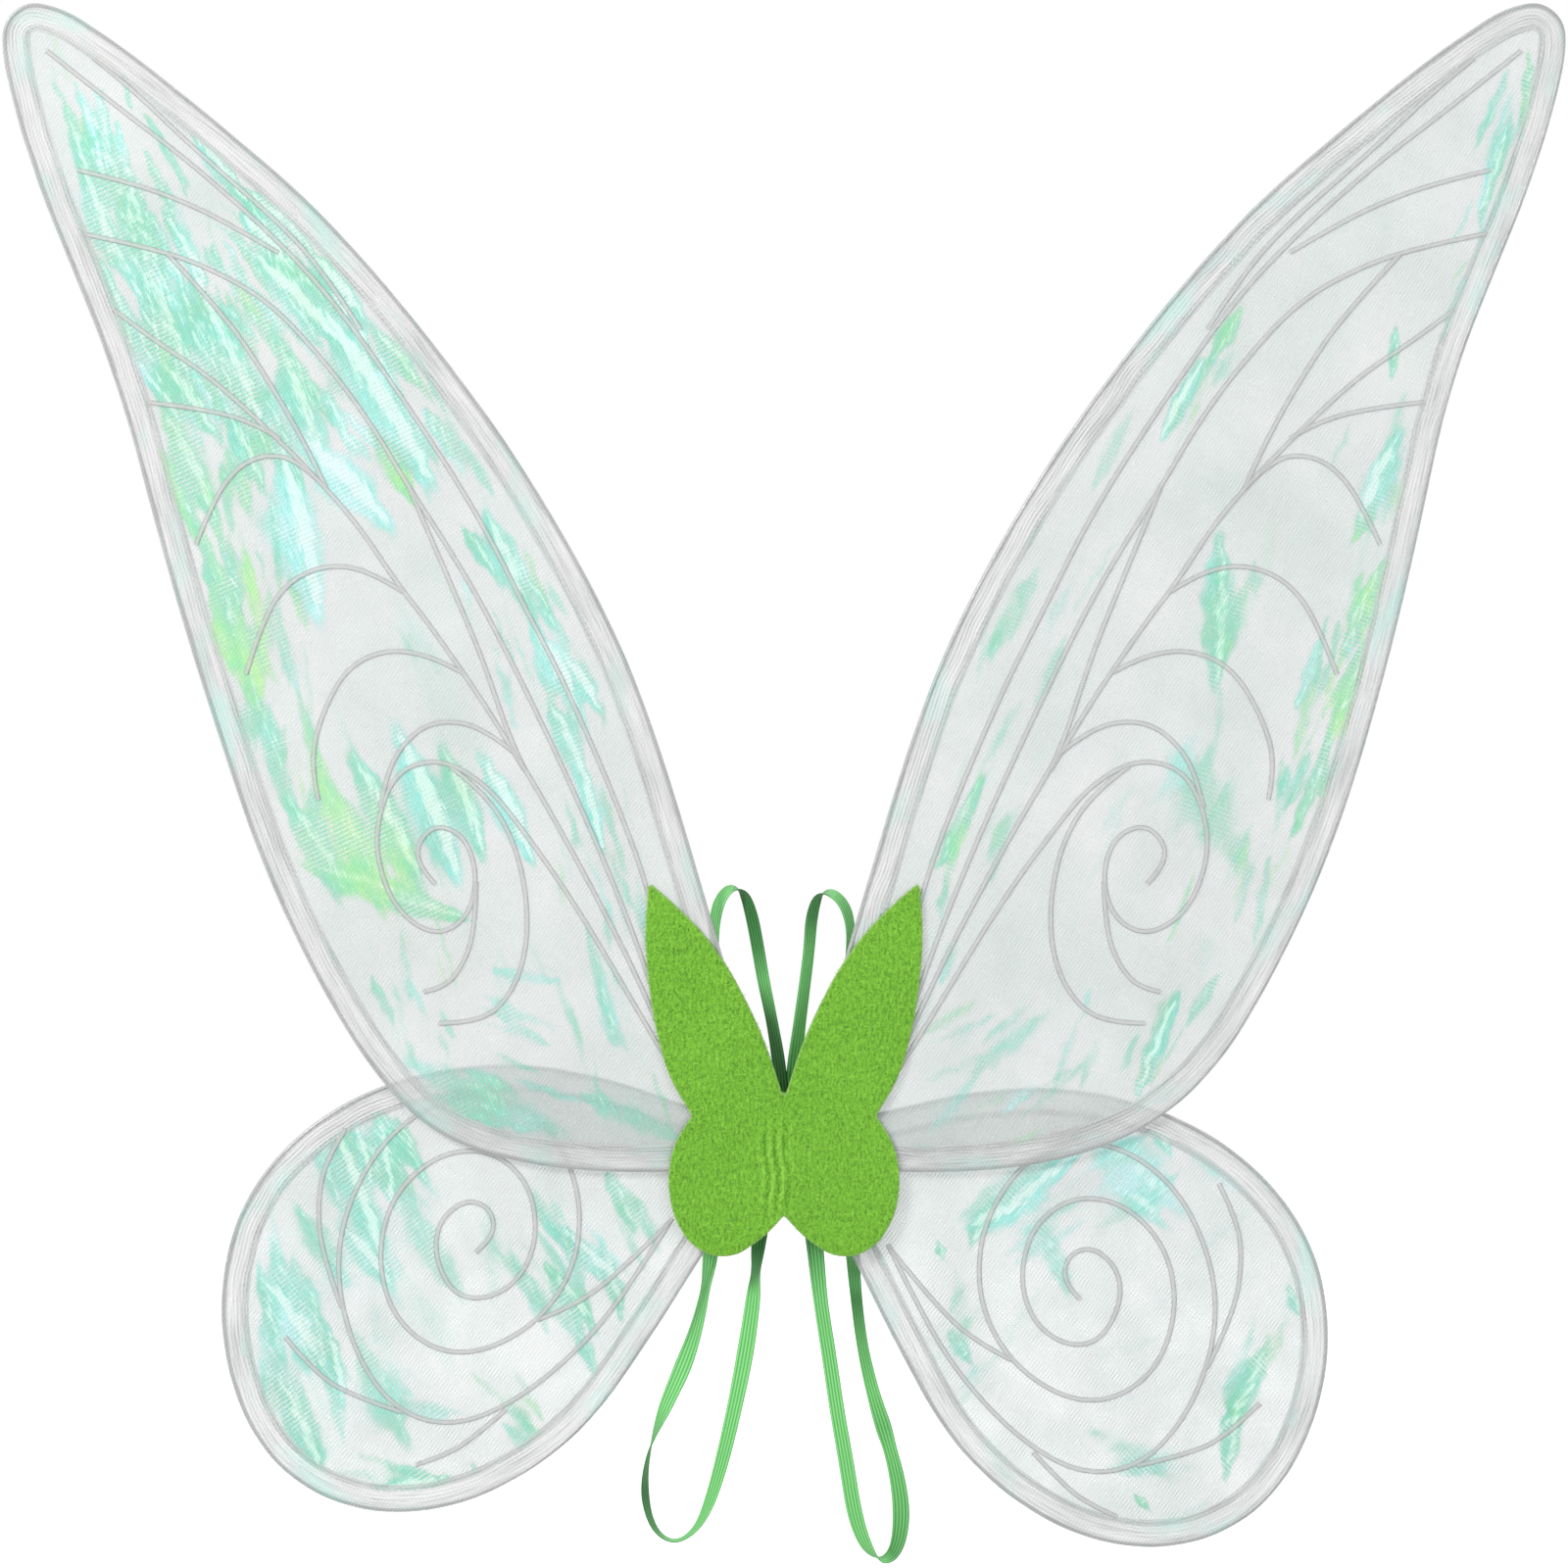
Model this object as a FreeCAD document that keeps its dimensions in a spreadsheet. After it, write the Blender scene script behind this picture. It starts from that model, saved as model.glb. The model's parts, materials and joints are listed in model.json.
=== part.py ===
"""Fairy wings: four wired, cloth-covered wings on a folding felt butterfly, with two elastic shoulder loops.

Frame: millimetres. X runs to the right, Z up and Y towards the wearer. The origin is on the outer face of
the back felt, on the centre line, at the height of the butterfly's waist.
"""
import FreeCAD, Part
import math
import os

Vector = FreeCAD.Vector

DIMENSIONS = [
    ("wire_diameter", 1.6),
    ("hem_tube_diameter", 2.6),
    ("wire_clearance", 0.02),
    ("hem_width", 14.0),
    ("hem_wall", 0.25),
    ("cloth_thickness", 0.25),
    ("film_thickness", 0.15),
    ("panel_inset", 5.0),
    ("vein_width", 2.6),
    ("vein_height", 0.4),
    ("felt_thickness", 1.2),
    ("layer_gap", 0.4),
    ("root_x", 22.0),
    ("root_z", 6.0),
    ("rivet_diameter", 4.0),
    ("rivet_head_diameter", 8.0),
    ("rivet_head_thickness", 0.5),
    ("eye_clearance", 0.2),
    ("eye_window", 10.0),
    ("washer_thickness", 1.2),
    ("spine_width", 5.0),
    ("spine_bottom", -27.0),
    ("spine_height", 52.0),
    ("strap_width", 10.0),
    ("strap_thickness", 1.0),
    ("strap_tab_overlap", 6.0),
    ("stitch_patch_length", 9.0),
    ("stitch_patch_width", 7.0),
    ("stitch_patch_height", 0.4),
    ("left_lower_lift", 6.0),
    ("left_lower_vein_raise", 10.0),
    ("left_narrowing", 10.0),
]

# Right upper wing, (x, z): the outer edge from the root to the tip, then the inner edge back to the root.
UPPER_OUTER_EDGE = [
    (22, -6), (56, -8), (92, -8), (124, -5), (154, 1.5), (181, 12.5), (204.5, 29), (227, 54),
    (248, 89.5), (268, 130), (283.8, 170), (296.4, 210), (307.4, 250), (317.3, 290), (326.2, 330),
    (334.5, 370), (346, 410), (362, 450), (378.5, 490), (391.5, 530), (398.5, 560), (399, 579),
    (386, 590),
]
UPPER_INNER_EDGE = [
    (366, 585), (341, 568.5), (317, 550.5), (292.5, 530.5), (244.5, 490), (207.3, 450), (175, 410),
    (145.3, 370), (119.8, 330), (97.2, 290), (78.3, 250), (63.8, 210), (51.3, 170), (39.6, 130),
    (27, 88), (15, 44), (10, 6),
]

# Right lower wing, (x, z), from the root along the top border, round the lobe and back up the lower edge.
LOWER_OUTLINE = [
    (22, 18), (52, 23), (88, 32), (130, 36), (165, 32), (198, 21.5), (223, 8), (244, -9), (262, -31),
    (273.5, -56), (278, -82), (277.5, -108), (271, -135), (259, -161), (241, -182), (217, -195.5),
    (190, -200.5), (163, -197.5), (137, -188), (111, -171), (90, -150.5), (75.5, -130), (63, -107),
    (49, -80), (36, -53), (23.5, -30), (13, -10), (10, 6),
]

# Cord appliqué on the right upper wing: ribs that fan out from the root, arches between them, one spiral.
UPPER_VEINS = {
    "first_rib": [(53, 36), (61, 90), (71, 139), (92, 193), (114, 243), (133, 280), (158, 330),
                  (194, 386), (230, 437), (262, 471), (304, 508), (336, 532), (376, 564)],
    "tip_rib": [(216, 422), (234, 450), (256, 475), (302, 515), (334, 546), (352, 560)],
    "second_rib": [(52, 34), (71, 93), (94, 151), (120, 209), (152, 275), (172, 310), (192, 341),
                   (211, 374), (233, 404), (263, 437), (299, 456), (330, 465), (360, 471)],
    "third_rib": [(51, 32), (70, 77), (97, 130), (125, 180), (141, 206), (156, 253), (168, 283),
                  (192, 341)],
    "middle_rib": [(136, 197), (152, 225), (184, 272), (199, 291), (219, 322), (237, 343), (262, 369),
                   (293, 398), (321, 416), (342, 432)],
    "middle_fork": [(235, 341), (246, 366), (268, 404), (287, 431), (315, 461)],
    "tip_arch": [(258, 461), (275, 471), (299, 484), (330, 496), (360, 503)],
    "low_arch": [(258, 366), (270, 374), (299, 382), (338, 386)],
    "first_arch": [(236, 342), (250, 356), (266, 358), (280, 352), (293, 336), (304, 312)],
    "second_arch": [(197, 288), (214, 299), (236, 302), (256, 294), (271, 275), (282, 246)],
    "third_arch": [(168, 247), (182, 255), (206, 259), (228, 250), (243, 226), (251, 201), (247, 182)],
    "fourth_arch": [(140, 205), (151, 214), (168, 222), (187, 221), (201, 210), (210, 195), (214, 178)],
    "spiral": [(50, 31), (71, 64), (110, 129), (140, 170), (157, 190), (180, 203), (203, 198),
               (214, 178), (217, 154), (207, 126), (186, 112), (168, 121), (162, 142), (168, 163),
               (184, 170), (195, 159), (193, 147), (185, 139)],
    "outer_curl": [(176, 199), (158, 186), (143, 163), (136, 135), (136, 107), (144, 84), (161, 68),
                   (184, 68)],
    "inner_curl": [(163, 140), (164, 115), (171, 97), (181, 86), (192, 84)],
}

# Cord appliqué on the right lower wing: one spiral of three turns, from its heart outwards to the root.
LOWER_VEINS = {
    "spiral": [(151, -73), (142, -64), (145, -50), (158, -46), (171, -58), (172, -76), (161, -95),
               (144, -97), (127, -85), (120, -62), (127, -35), (148, -20), (174, -24), (195, -46),
               (201, -76), (192, -107), (169, -125), (142, -124), (113, -103), (98, -70), (102, -31),
               (127, 3), (165, 9), (200, -14), (219, -54), (221, -92), (207, -131), (183, -158),
               (152, -163), (119, -144), (86, -108), (64, -68), (53, -45)],
    "outer_arch": [(216, -108), (230, -80), (234, -52), (231, -32), (222, -14)],
    "tail_arch": [(180, -158), (203, -153), (225, -144), (243, -126)],
    "heel_arch": [(127, -151), (140, -165), (154, -177), (170, -184)],
    "root_arch": [(116, -104), (96, -94), (74, -72), (54, -47)],
}

# Right half of the felt butterfly, (x, z), from the top notch round the lobes to the bottom notch.
FELT_HALF = [
    (0, 29), (8, 54), (16, 73), (28, 96), (41, 114), (55, 128), (69, 140), (71, 115), (69.5, 91),
    (66, 67), (59, 41), (47, 21), (56.5, 6), (59.5, -11), (57, -29), (49, -43.5), (37, -51), (24, -50.5),
    (9, -40), (0, -30),
]

# Elastic shoulder loops, (x, z): from the seam on the upper lobe, over the top, down behind the felt, round
# the bottom and back up to the seam on the lower lobe.
LEFT_STRAP_ROUTE = [
    (-33, 68), (-34, 84), (-35.5, 101), (-36, 117), (-33.5, 130), (-27.5, 137.5), (-20.5, 135),
    (-16.5, 123), (-13.5, 107), (-10.5, 89), (-6, 68), (-2, 44), (-1.5, 20), (-5.5, -3), (-10.5, -26),
    (-13.5, -48), (-15.5, -72), (-19.5, -100), (-25, -128), (-31.5, -156), (-38, -178), (-45, -192),
    (-56, -199), (-67, -192), (-72, -173), (-69.5, -151), (-61, -129), (-51.5, -108), (-44.5, -88),
    (-40, -68), (-37.5, -50), (-36.5, -34), (-36, -20),
]
RIGHT_STRAP_ROUTE = [
    (33, 68), (34, 84), (33.5, 101), (34.5, 116), (31.5, 128), (24.5, 135), (17.5, 133.5), (14, 122),
    (13, 106), (10.5, 86), (7.5, 64), (5, 40), (6, 18), (9.5, -4), (13.5, -26), (16, -48), (18.5, -74),
    (23, -102), (27, -130), (32, -158), (36, -184), (42, -201), (50.5, -208.5), (58, -202), (60.5, -184),
    (58, -164), (52.5, -144), (45.5, -122), (40, -98), (37, -74), (35, -50), (34.5, -34), (36, -20),
]

# Depths of the two wing layers' mid planes behind the back felt's face, as expressions on the sheet.
LOWER_DEPTH = "(Sizes.felt_thickness + Sizes.layer_gap + Sizes.hem_tube_diameter / 2)"
UPPER_DEPTH = "(Sizes.felt_thickness + 2 * Sizes.layer_gap + 1.5 * Sizes.hem_tube_diameter)"
FRONT_FELT_DEPTH = "(2 * Sizes.felt_thickness + 3 * Sizes.layer_gap + 2 * Sizes.hem_tube_diameter)"

SIDES = {"left": -1, "right": 1}
ARC_SHARE = 0.45
SHARP_CORNER_RADIUS = 1.5
VOLUME_TOLERANCE = 0.02


def make_sheet(doc):
    """Put the driving dimensions in a spreadsheet, one alias to a row."""
    sheet = doc.addObject("Spreadsheet::Sheet", "Sizes")
    for row, (alias, value) in enumerate(DIMENSIONS, start=1):
        sheet.set("A%d" % row, alias)
        sheet.set("B%d" % row, str(value))
        sheet.setAlias("B%d" % row, alias)
    doc.recompute()
    return sheet


def unit(from_point, to_point):
    """Direction and length from one (x, z) point to another."""
    dx = to_point[0] - from_point[0]
    dz = to_point[1] - from_point[1]
    length = math.hypot(dx, dz)
    return (dx / length, dz / length), length


def corner_arc(before, corner, after, radius_limit):
    """Tangent points, radius and turn direction of the arc that rounds a corner of a route."""
    incoming, run_in = unit(before, corner)
    outgoing, run_out = unit(corner, after)
    cross = incoming[0] * outgoing[1] - incoming[1] * outgoing[0]
    dot = incoming[0] * outgoing[0] + incoming[1] * outgoing[1]
    half_turn = abs(math.atan2(cross, dot)) / 2
    setback = ARC_SHARE * min(run_in, run_out)
    radius = setback / math.tan(half_turn)
    if radius_limit and radius > radius_limit:
        radius = radius_limit
        setback = radius * math.tan(half_turn)
    start = (corner[0] - setback * incoming[0], corner[1] - setback * incoming[1])
    end = (corner[0] + setback * outgoing[0], corner[1] + setback * outgoing[1])
    return start, end, radius, math.copysign(1.0, cross), incoming


def route_segments(points, closed=False, sharp=()):
    """Straight runs joined by tangent arcs: a list of (start, end, radius, side, direction at the start)."""
    count = len(points)
    corners = range(count) if closed else range(1, count - 1)
    arcs = []
    for index in corners:
        limit = SHARP_CORNER_RADIUS if index in sharp else None
        arcs.append(corner_arc(points[index - 1], points[index], points[(index + 1) % count], limit))
    segments = []
    here = arcs[-1][1] if closed else points[0]
    for start, end, radius, side, direction in arcs:
        segments.append((here, start, 0.0, 0.0, direction))
        segments.append((start, end, radius, side, direction))
        here = end
    if not closed:
        direction, _ = unit(here, points[-1])
        segments.append((here, points[-1], 0.0, 0.0, direction))
    return segments


def arc_middle(start, end, radius, side, direction):
    """The point half way along an arc of a route, and the arc's centre."""
    normal = (-direction[1] * side, direction[0] * side)
    centre = (start[0] + radius * normal[0], start[1] + radius * normal[1])
    chord_middle = ((start[0] + end[0]) / 2, (start[1] + end[1]) / 2)
    outward, _ = unit(centre, chord_middle)
    return (centre[0] + radius * outward[0], centre[1] + radius * outward[1]), centre


def in_space(point, y):
    return Vector(point[0], y, point[1])


def route_edges(segments, y, shift=0.0):
    """Edges of a route at one depth, moved sideways to the left of its direction by shift."""
    edges = []
    for start, end, radius, side, direction in segments:
        if radius == 0.0:
            offset = (-direction[1] * shift, direction[0] * shift)
            first = (start[0] + offset[0], start[1] + offset[1])
            last = (end[0] + offset[0], end[1] + offset[1])
            edges.append(Part.LineSegment(in_space(first, y), in_space(last, y)).toShape())
            continue
        middle, centre = arc_middle(start, end, radius, side, direction)
        scale = (radius - side * shift) / radius
        moved = [
            (centre[0] + scale * (point[0] - centre[0]), centre[1] + scale * (point[1] - centre[1]))
            for point in (start, middle, end)
        ]
        edges.append(Part.Arc(*[in_space(point, y) for point in moved]).toShape())
    return edges


def closed_wire(points, y, sharp=()):
    return Part.Wire(route_edges(route_segments(points, closed=True, sharp=sharp), y))


def ribbon_face(points, width, y):
    """A flat band of one width along an open route."""
    segments = route_segments(points)
    left_side = Part.Wire(route_edges(segments, y, width / 2))
    right_side = Part.Wire(route_edges(segments, y, -width / 2))
    left_ends = left_side.OrderedVertexes
    right_ends = right_side.OrderedVertexes
    start_cap = Part.LineSegment(right_ends[0].Point, left_ends[0].Point).toShape()
    end_cap = Part.LineSegment(left_ends[-1].Point, right_ends[-1].Point).toShape()
    outline = Part.Wire(Part.__sortEdges__(left_side.Edges + right_side.Edges + [start_cap, end_cap]))
    return Part.Face(outline)


def tube(path, diameter):
    """A round tube along a closed path in a plane of constant Y."""
    start = path.Edges[0]
    direction = start.tangentAt(start.FirstParameter)
    profile = Part.Wire(Part.makeCircle(diameter / 2, start.valueAt(start.FirstParameter), direction))
    return path.makePipeShell([profile], True, False)


def slab(face, thickness):
    """Extrude a face towards the wearer."""
    return face.extrude(Vector(0, thickness, 0))


def inset_face(outline, inset):
    """The region inside a closed outline, a given distance in from it."""
    shrunk = outline.makeOffset2D(-inset)
    wires = shrunk.Wires
    largest = max(wires, key=lambda wire: Part.Face(wire).Area)
    return Part.Face(largest)


def mirrored(points, side):
    return [(side * x, z) for x, z in points]


def turned(points, centre, degrees):
    """Turn points about a centre; positive lifts the right wing's outer end."""
    cosine = math.cos(math.radians(degrees))
    sine = math.sin(math.radians(degrees))
    result = []
    for x, z in points:
        dx = x - centre[0]
        dz = z - centre[1]
        result.append((centre[0] + cosine * dx - sine * dz, centre[1] + sine * dx + cosine * dz))
    return result


def raised(points, amount):
    return [(x, z + amount) for x, z in points]


def clamp(value):
    return max(0.0, min(1.0, value))


# The bend of the left upper frame: nothing at its inner edge, which leaves the root as a gentle curve, and
# the full amount a reach away from it, fading out above the fade height and near the root.
INNER_EDGE_START = 12
INNER_EDGE_LEAN = 0.12
INNER_EDGE_CURVE = 0.0007
BEND_REACH = 200
BEND_TOP = 400
BEND_FADE = 200
BEND_ROOT_FADE = 40


def narrower(points, amount):
    """Move points inwards where the left upper frame is bent narrower than the right one."""
    result = []
    for x, z in points:
        inner_edge = INNER_EDGE_START + INNER_EDGE_LEAN * z + INNER_EDGE_CURVE * z * z
        across = clamp((x - inner_edge) / BEND_REACH)
        along = clamp((BEND_TOP - z) / BEND_FADE) * clamp(z / BEND_ROOT_FADE)
        result.append((x - amount * across * along, z))
    return result


def add_feature(doc, label, shape):
    """Keep a finished shape as a labelled object of the document."""
    feature = doc.addObject("Part::Feature", label)
    feature.Label = label
    feature.Shape = shape
    return feature


def add_extrusion(doc, label, face, thickness_alias, y_expression):
    """A flat piece: a hidden profile, extruded along Y by a thickness from the sheet."""
    profile = doc.addObject("Part::Feature", label + "_profile")
    profile.Shape = face
    piece = doc.addObject("Part::Extrusion", label)
    piece.Label = label
    piece.Base = profile
    piece.DirMode = "Custom"
    piece.Dir = Vector(0, 1, 0)
    piece.Solid = True
    piece.setExpression("LengthFwd", "Sizes." + thickness_alias)
    piece.setExpression("Placement.Base.y", y_expression)
    return piece


def add_cylinder(doc, name, diameter, height, x, y, z):
    """A cylinder along Y; every size and place is an expression on the sheet."""
    cylinder = doc.addObject("Part::Cylinder", name)
    cylinder.setExpression("Radius", "(%s) / 2" % diameter)
    cylinder.setExpression("Height", height)
    cylinder.Placement = FreeCAD.Placement(Vector(0, 0, 0), FreeCAD.Rotation(Vector(1, 0, 0), -90))
    cylinder.setExpression("Placement.Base.x", x)
    cylinder.setExpression("Placement.Base.y", y)
    cylinder.setExpression("Placement.Base.z", z)
    return cylinder


def depth(size, layer):
    """Distance of a wing layer's mid plane in front of the back felt's outer face."""
    if layer == "lower":
        return size["felt_thickness"] + size["layer_gap"] + size["hem_tube_diameter"] / 2
    return size["felt_thickness"] + 2 * size["layer_gap"] + 1.5 * size["hem_tube_diameter"]


def wire_frame(path, root, y, size):
    """The steel frame: a closed wire with a short tail that ends in an eye round the root rivet."""
    diameter = size["wire_diameter"]
    eye_radius = size["rivet_diameter"] / 2 + size["eye_clearance"] + diameter / 2
    centre = in_space(root, y)
    eye = Part.makeTorus(eye_radius, diameter / 2, centre, Vector(0, 1, 0))
    nearest = path.distToShape(Part.Vertex(centre))[1][0][0]
    outward = (nearest - centre).normalize()
    tail_start = centre + outward * eye_radius
    tail = Part.makeCylinder(diameter / 2, (nearest - tail_start).Length, tail_start, outward)
    return tube(path, diameter).fuse([tail, eye]).Solids[0]


def folded_hem(outline, wire_path, cloths, window, steel, size):
    """The binding: a band folded over the cloths' edge, with a round channel for the wire at its rim."""
    band_thickness = 2 * (size["cloth_thickness"] + size["hem_wall"]) + size["film_thickness"]
    rim_inset = size["hem_tube_diameter"] / 2
    band_face = inset_face(outline, rim_inset).cut(inset_face(outline, size["hem_width"]))
    band = slab(band_face, band_thickness)
    band.translate(Vector(0, -band_thickness / 2, 0))
    rim = tube(wire_path, size["hem_tube_diameter"])
    channel = tube(wire_path, size["wire_diameter"] + 2 * size["wire_clearance"])
    hem = band.fuse(rim).cut(channel).cut(cloths).cut(window).cut(steel)
    return max(hem.Solids, key=lambda solid: solid.Volume)


def build_wing(doc, prefix, layer, outline_points, vein_routes, root, size):
    """One wing: wire frame, folded hem, two cloths with iridescent film between them, and corded veins."""
    y = -depth(size, layer)
    depth_expression = LOWER_DEPTH if layer == "lower" else UPPER_DEPTH
    outline = closed_wire(outline_points, y)
    wire_path = inset_face(outline, size["hem_tube_diameter"] / 2).OuterWire
    reach = size["hem_tube_diameter"]
    window = Part.makeCylinder(size["eye_window"] / 2, 2 * reach, in_space(root, y - reach), Vector(0, 1, 0))
    panel = max(inset_face(outline, size["panel_inset"]).cut(window).Faces, key=lambda face: face.Area)
    steel = wire_frame(wire_path, root, y, size)
    add_feature(doc, prefix + "_wire_frame", steel)

    stack = 2 * size["cloth_thickness"] + size["film_thickness"]
    cloths = slab(panel, stack)
    cloths.translate(Vector(0, -stack / 2, 0))
    add_feature(doc, prefix + "_hem", folded_hem(outline, wire_path, cloths, window, steel, size))

    panel.translate(Vector(0, -y, 0))
    front = "-%s - Sizes.film_thickness / 2 - Sizes.cloth_thickness" % depth_expression
    middle = "-%s - Sizes.film_thickness / 2" % depth_expression
    back = "-%s + Sizes.film_thickness / 2" % depth_expression
    add_extrusion(doc, prefix + "_front_cloth", panel, "cloth_thickness", front)
    add_extrusion(doc, prefix + "_film", panel, "film_thickness", middle)
    add_extrusion(doc, prefix + "_back_cloth", panel, "cloth_thickness", back)

    bands = [ribbon_face(route, size["vein_width"], 0.0) for route in vein_routes.values()]
    inner_region = inset_face(outline, size["hem_width"]).translated(Vector(0, -y, 0))
    pattern = bands[0].fuse(bands[1:]).common(inner_region)
    veins = slab(pattern, size["vein_height"])
    veins.translate(Vector(0, y - stack / 2 - size["vein_height"], 0))
    whole = veins.Solids[0].fuse(veins.Solids[1:]) if len(veins.Solids) > 1 else veins
    add_feature(doc, prefix + "_veins", whole.removeSplitter())
    print(prefix, "outline", round(outline.Length, 1), "panel area", round(panel.Area))


def build_root_hardware(doc, side_name, side):
    """The tubular rivet that joins a side's two wire eyes, and the washer between the eyes."""
    x = "%d * Sizes.root_x" % side
    z = "Sizes.root_z"
    half_tube = "Sizes.hem_tube_diameter / 2"
    front = "-%s - %s" % (UPPER_DEPTH, half_tube)
    back_head = "-%s + %s - Sizes.rivet_head_thickness" % (LOWER_DEPTH, half_tube)
    span = "%s - %s + Sizes.hem_tube_diameter" % (UPPER_DEPTH, LOWER_DEPTH)
    name = side_name + "_root_rivet"
    shank = add_cylinder(doc, name + "_shank", "Sizes.rivet_diameter", span, x, front, z)
    heads = [
        add_cylinder(doc, name + "_front_head", "Sizes.rivet_head_diameter", "Sizes.rivet_head_thickness",
                     x, front, z),
        add_cylinder(doc, name + "_back_head", "Sizes.rivet_head_diameter", "Sizes.rivet_head_thickness",
                     x, back_head, z),
    ]
    rivet = doc.addObject("Part::MultiFuse", name)
    rivet.Label = name
    rivet.Shapes = [shank] + heads

    middle = "-(%s + %s) / 2 - Sizes.washer_thickness / 2" % (UPPER_DEPTH, LOWER_DEPTH)
    disc = add_cylinder(doc, side_name + "_washer_disc", "Sizes.rivet_head_diameter",
                        "Sizes.washer_thickness", x, middle, z)
    hole = add_cylinder(doc, side_name + "_washer_hole", "Sizes.rivet_diameter + Sizes.eye_clearance",
                        "Sizes.washer_thickness", x, middle, z)
    washer = doc.addObject("Part::Cut", side_name + "_root_washer")
    washer.Label = side_name + "_root_washer"
    washer.Base = disc
    washer.Tool = hole


def build_felts(doc):
    """The butterfly: two felt covers of one outline, with the centre tape between them."""
    right_points = FELT_HALF
    left_points = [(-x, z) for x, z in reversed(FELT_HALF[1:-1])]
    outline_points = right_points + left_points
    corners = [(0, 29), (0, -30), (69, 140), (-69, 140), (47, 21), (-47, 21)]
    sharp = [outline_points.index(corner) for corner in corners]
    face = Part.Face(closed_wire(outline_points, 0.0, sharp))
    add_extrusion(doc, "back_felt", face, "felt_thickness", "-Sizes.felt_thickness")
    add_extrusion(doc, "front_felt", face, "felt_thickness", "-" + FRONT_FELT_DEPTH)

    tape = doc.addObject("Part::Box", "centre_tape")
    tape.Label = "centre_tape"
    tape.setExpression("Length", "Sizes.spine_width")
    tape.setExpression("Width", FRONT_FELT_DEPTH + " - 2 * Sizes.felt_thickness")
    tape.setExpression("Height", "Sizes.spine_height")
    tape.setExpression("Placement.Base.x", "-Sizes.spine_width / 2")
    tape.setExpression("Placement.Base.y", "-%s + Sizes.felt_thickness" % FRONT_FELT_DEPTH)
    tape.setExpression("Placement.Base.z", "Sizes.spine_bottom")


def sewn_end(end, neighbour, size):
    """The flat end of a strap, sewn to the felt, and the patch of stitches on it."""
    direction, run = unit(end, neighbour)
    overlap = run + size["strap_tab_overlap"]
    tip = (end[0] + overlap * direction[0], end[1] + overlap * direction[1])
    tab = slab(ribbon_face([end, tip], size["strap_width"], 0.0), size["strap_thickness"])
    middle = run / 2
    half = size["stitch_patch_length"] / 2
    patch_ends = [
        (end[0] + (middle + shift) * direction[0], end[1] + (middle + shift) * direction[1])
        for shift in (-half, half)
    ]
    patch_face = ribbon_face(patch_ends, size["stitch_patch_width"], size["strap_thickness"])
    return tab, slab(patch_face, size["stitch_patch_height"])


def build_strap(doc, side_name, route, size):
    """One elastic shoulder loop: a ribbon on edge along its route, with a flat sewn end at each seam."""
    free_run = route[1:-1]
    strap_profile = ribbon_face(free_run, size["strap_thickness"], size["strap_thickness"])
    ribbon = slab(strap_profile, size["strap_width"])
    segments = route_segments(free_run)
    length = sum(edge.Length for edge in route_edges(segments, 0.0))
    section = size["strap_thickness"] * size["strap_width"]
    assert abs(ribbon.Volume / (section * length) - 1) < VOLUME_TOLERANCE
    radii = [round(radius, 1) for _, _, radius, _, _ in segments if radius]
    whole_length = sum(edge.Length for edge in route_edges(route_segments(route), 0.0))
    print(side_name, "strap length", round(whole_length, 1), "radii", radii)
    first_tab, first_patch = sewn_end(route[0], route[1], size)
    last_tab, last_patch = sewn_end(route[-1], route[-2], size)
    strap = ribbon.fuse([first_tab, last_tab]).removeSplitter()
    add_feature(doc, side_name + "_strap", strap)
    add_feature(doc, side_name + "_strap_stitches", Part.makeCompound([first_patch, last_patch]))


def export(doc, node_names):
    """Check every object and write one STEP file for each node."""
    for item in doc.Objects:
        if "Invalid" in item.State or "Error" in item.State:
            raise RuntimeError("%s did not compute: %s" % (item.Label, item.State))
    os.makedirs("parts", exist_ok=True)
    for name in node_names:
        shape = doc.getObjectsByLabel(name)[0].Shape
        if shape.isNull() or not shape.isValid():
            raise RuntimeError(name + " has no valid shape")
        shape.exportStep("parts/%s.step" % name)
        print(name, "solids", len(shape.Solids), "volume", round(shape.Volume, 1))


def main():
    doc = FreeCAD.newDocument("fairy_wings")
    sheet = make_sheet(doc)
    size = {alias: float(sheet.get(alias)) for alias, _ in DIMENSIONS}
    build_felts(doc)
    node_names = ["front_felt", "back_felt", "centre_tape"]
    straps = {"left": LEFT_STRAP_ROUTE, "right": RIGHT_STRAP_ROUTE}
    for side_name, side in SIDES.items():
        root = (side * size["root_x"], size["root_z"])
        upper_points = UPPER_OUTER_EDGE + UPPER_INNER_EDGE
        narrowing = size["left_narrowing"] if side_name == "left" else 0.0
        upper_points = mirrored(narrower(upper_points, narrowing), side)
        upper_veins = {}
        for name, route in UPPER_VEINS.items():
            upper_veins[name] = mirrored(narrower(route, narrowing), side)
        build_wing(doc, side_name + "_upper", "upper", upper_points, upper_veins, root, size)

        lift = -size["left_lower_lift"] if side_name == "left" else 0.0
        lower_points = turned(mirrored(LOWER_OUTLINE, side), root, lift)
        vein_raise = size["left_lower_vein_raise"] if side_name == "left" else 0.0
        lower_veins = {}
        for name, route in LOWER_VEINS.items():
            lower_veins[name] = turned(mirrored(raised(route, vein_raise), side), root, lift)
        build_wing(doc, side_name + "_lower", "lower", lower_points, lower_veins, root, size)

        build_root_hardware(doc, side_name, side)
        build_strap(doc, side_name, straps[side_name], size)
        for layer in ("upper", "lower"):
            for piece in ("wire_frame", "hem", "front_cloth", "film", "back_cloth", "veins"):
                node_names.append("%s_%s_%s" % (side_name, layer, piece))
        for piece in ("root_rivet", "root_washer", "strap", "strap_stitches"):
            node_names.append("%s_%s" % (side_name, piece))
    doc.recompute()
    export(doc, node_names)


main()
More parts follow.
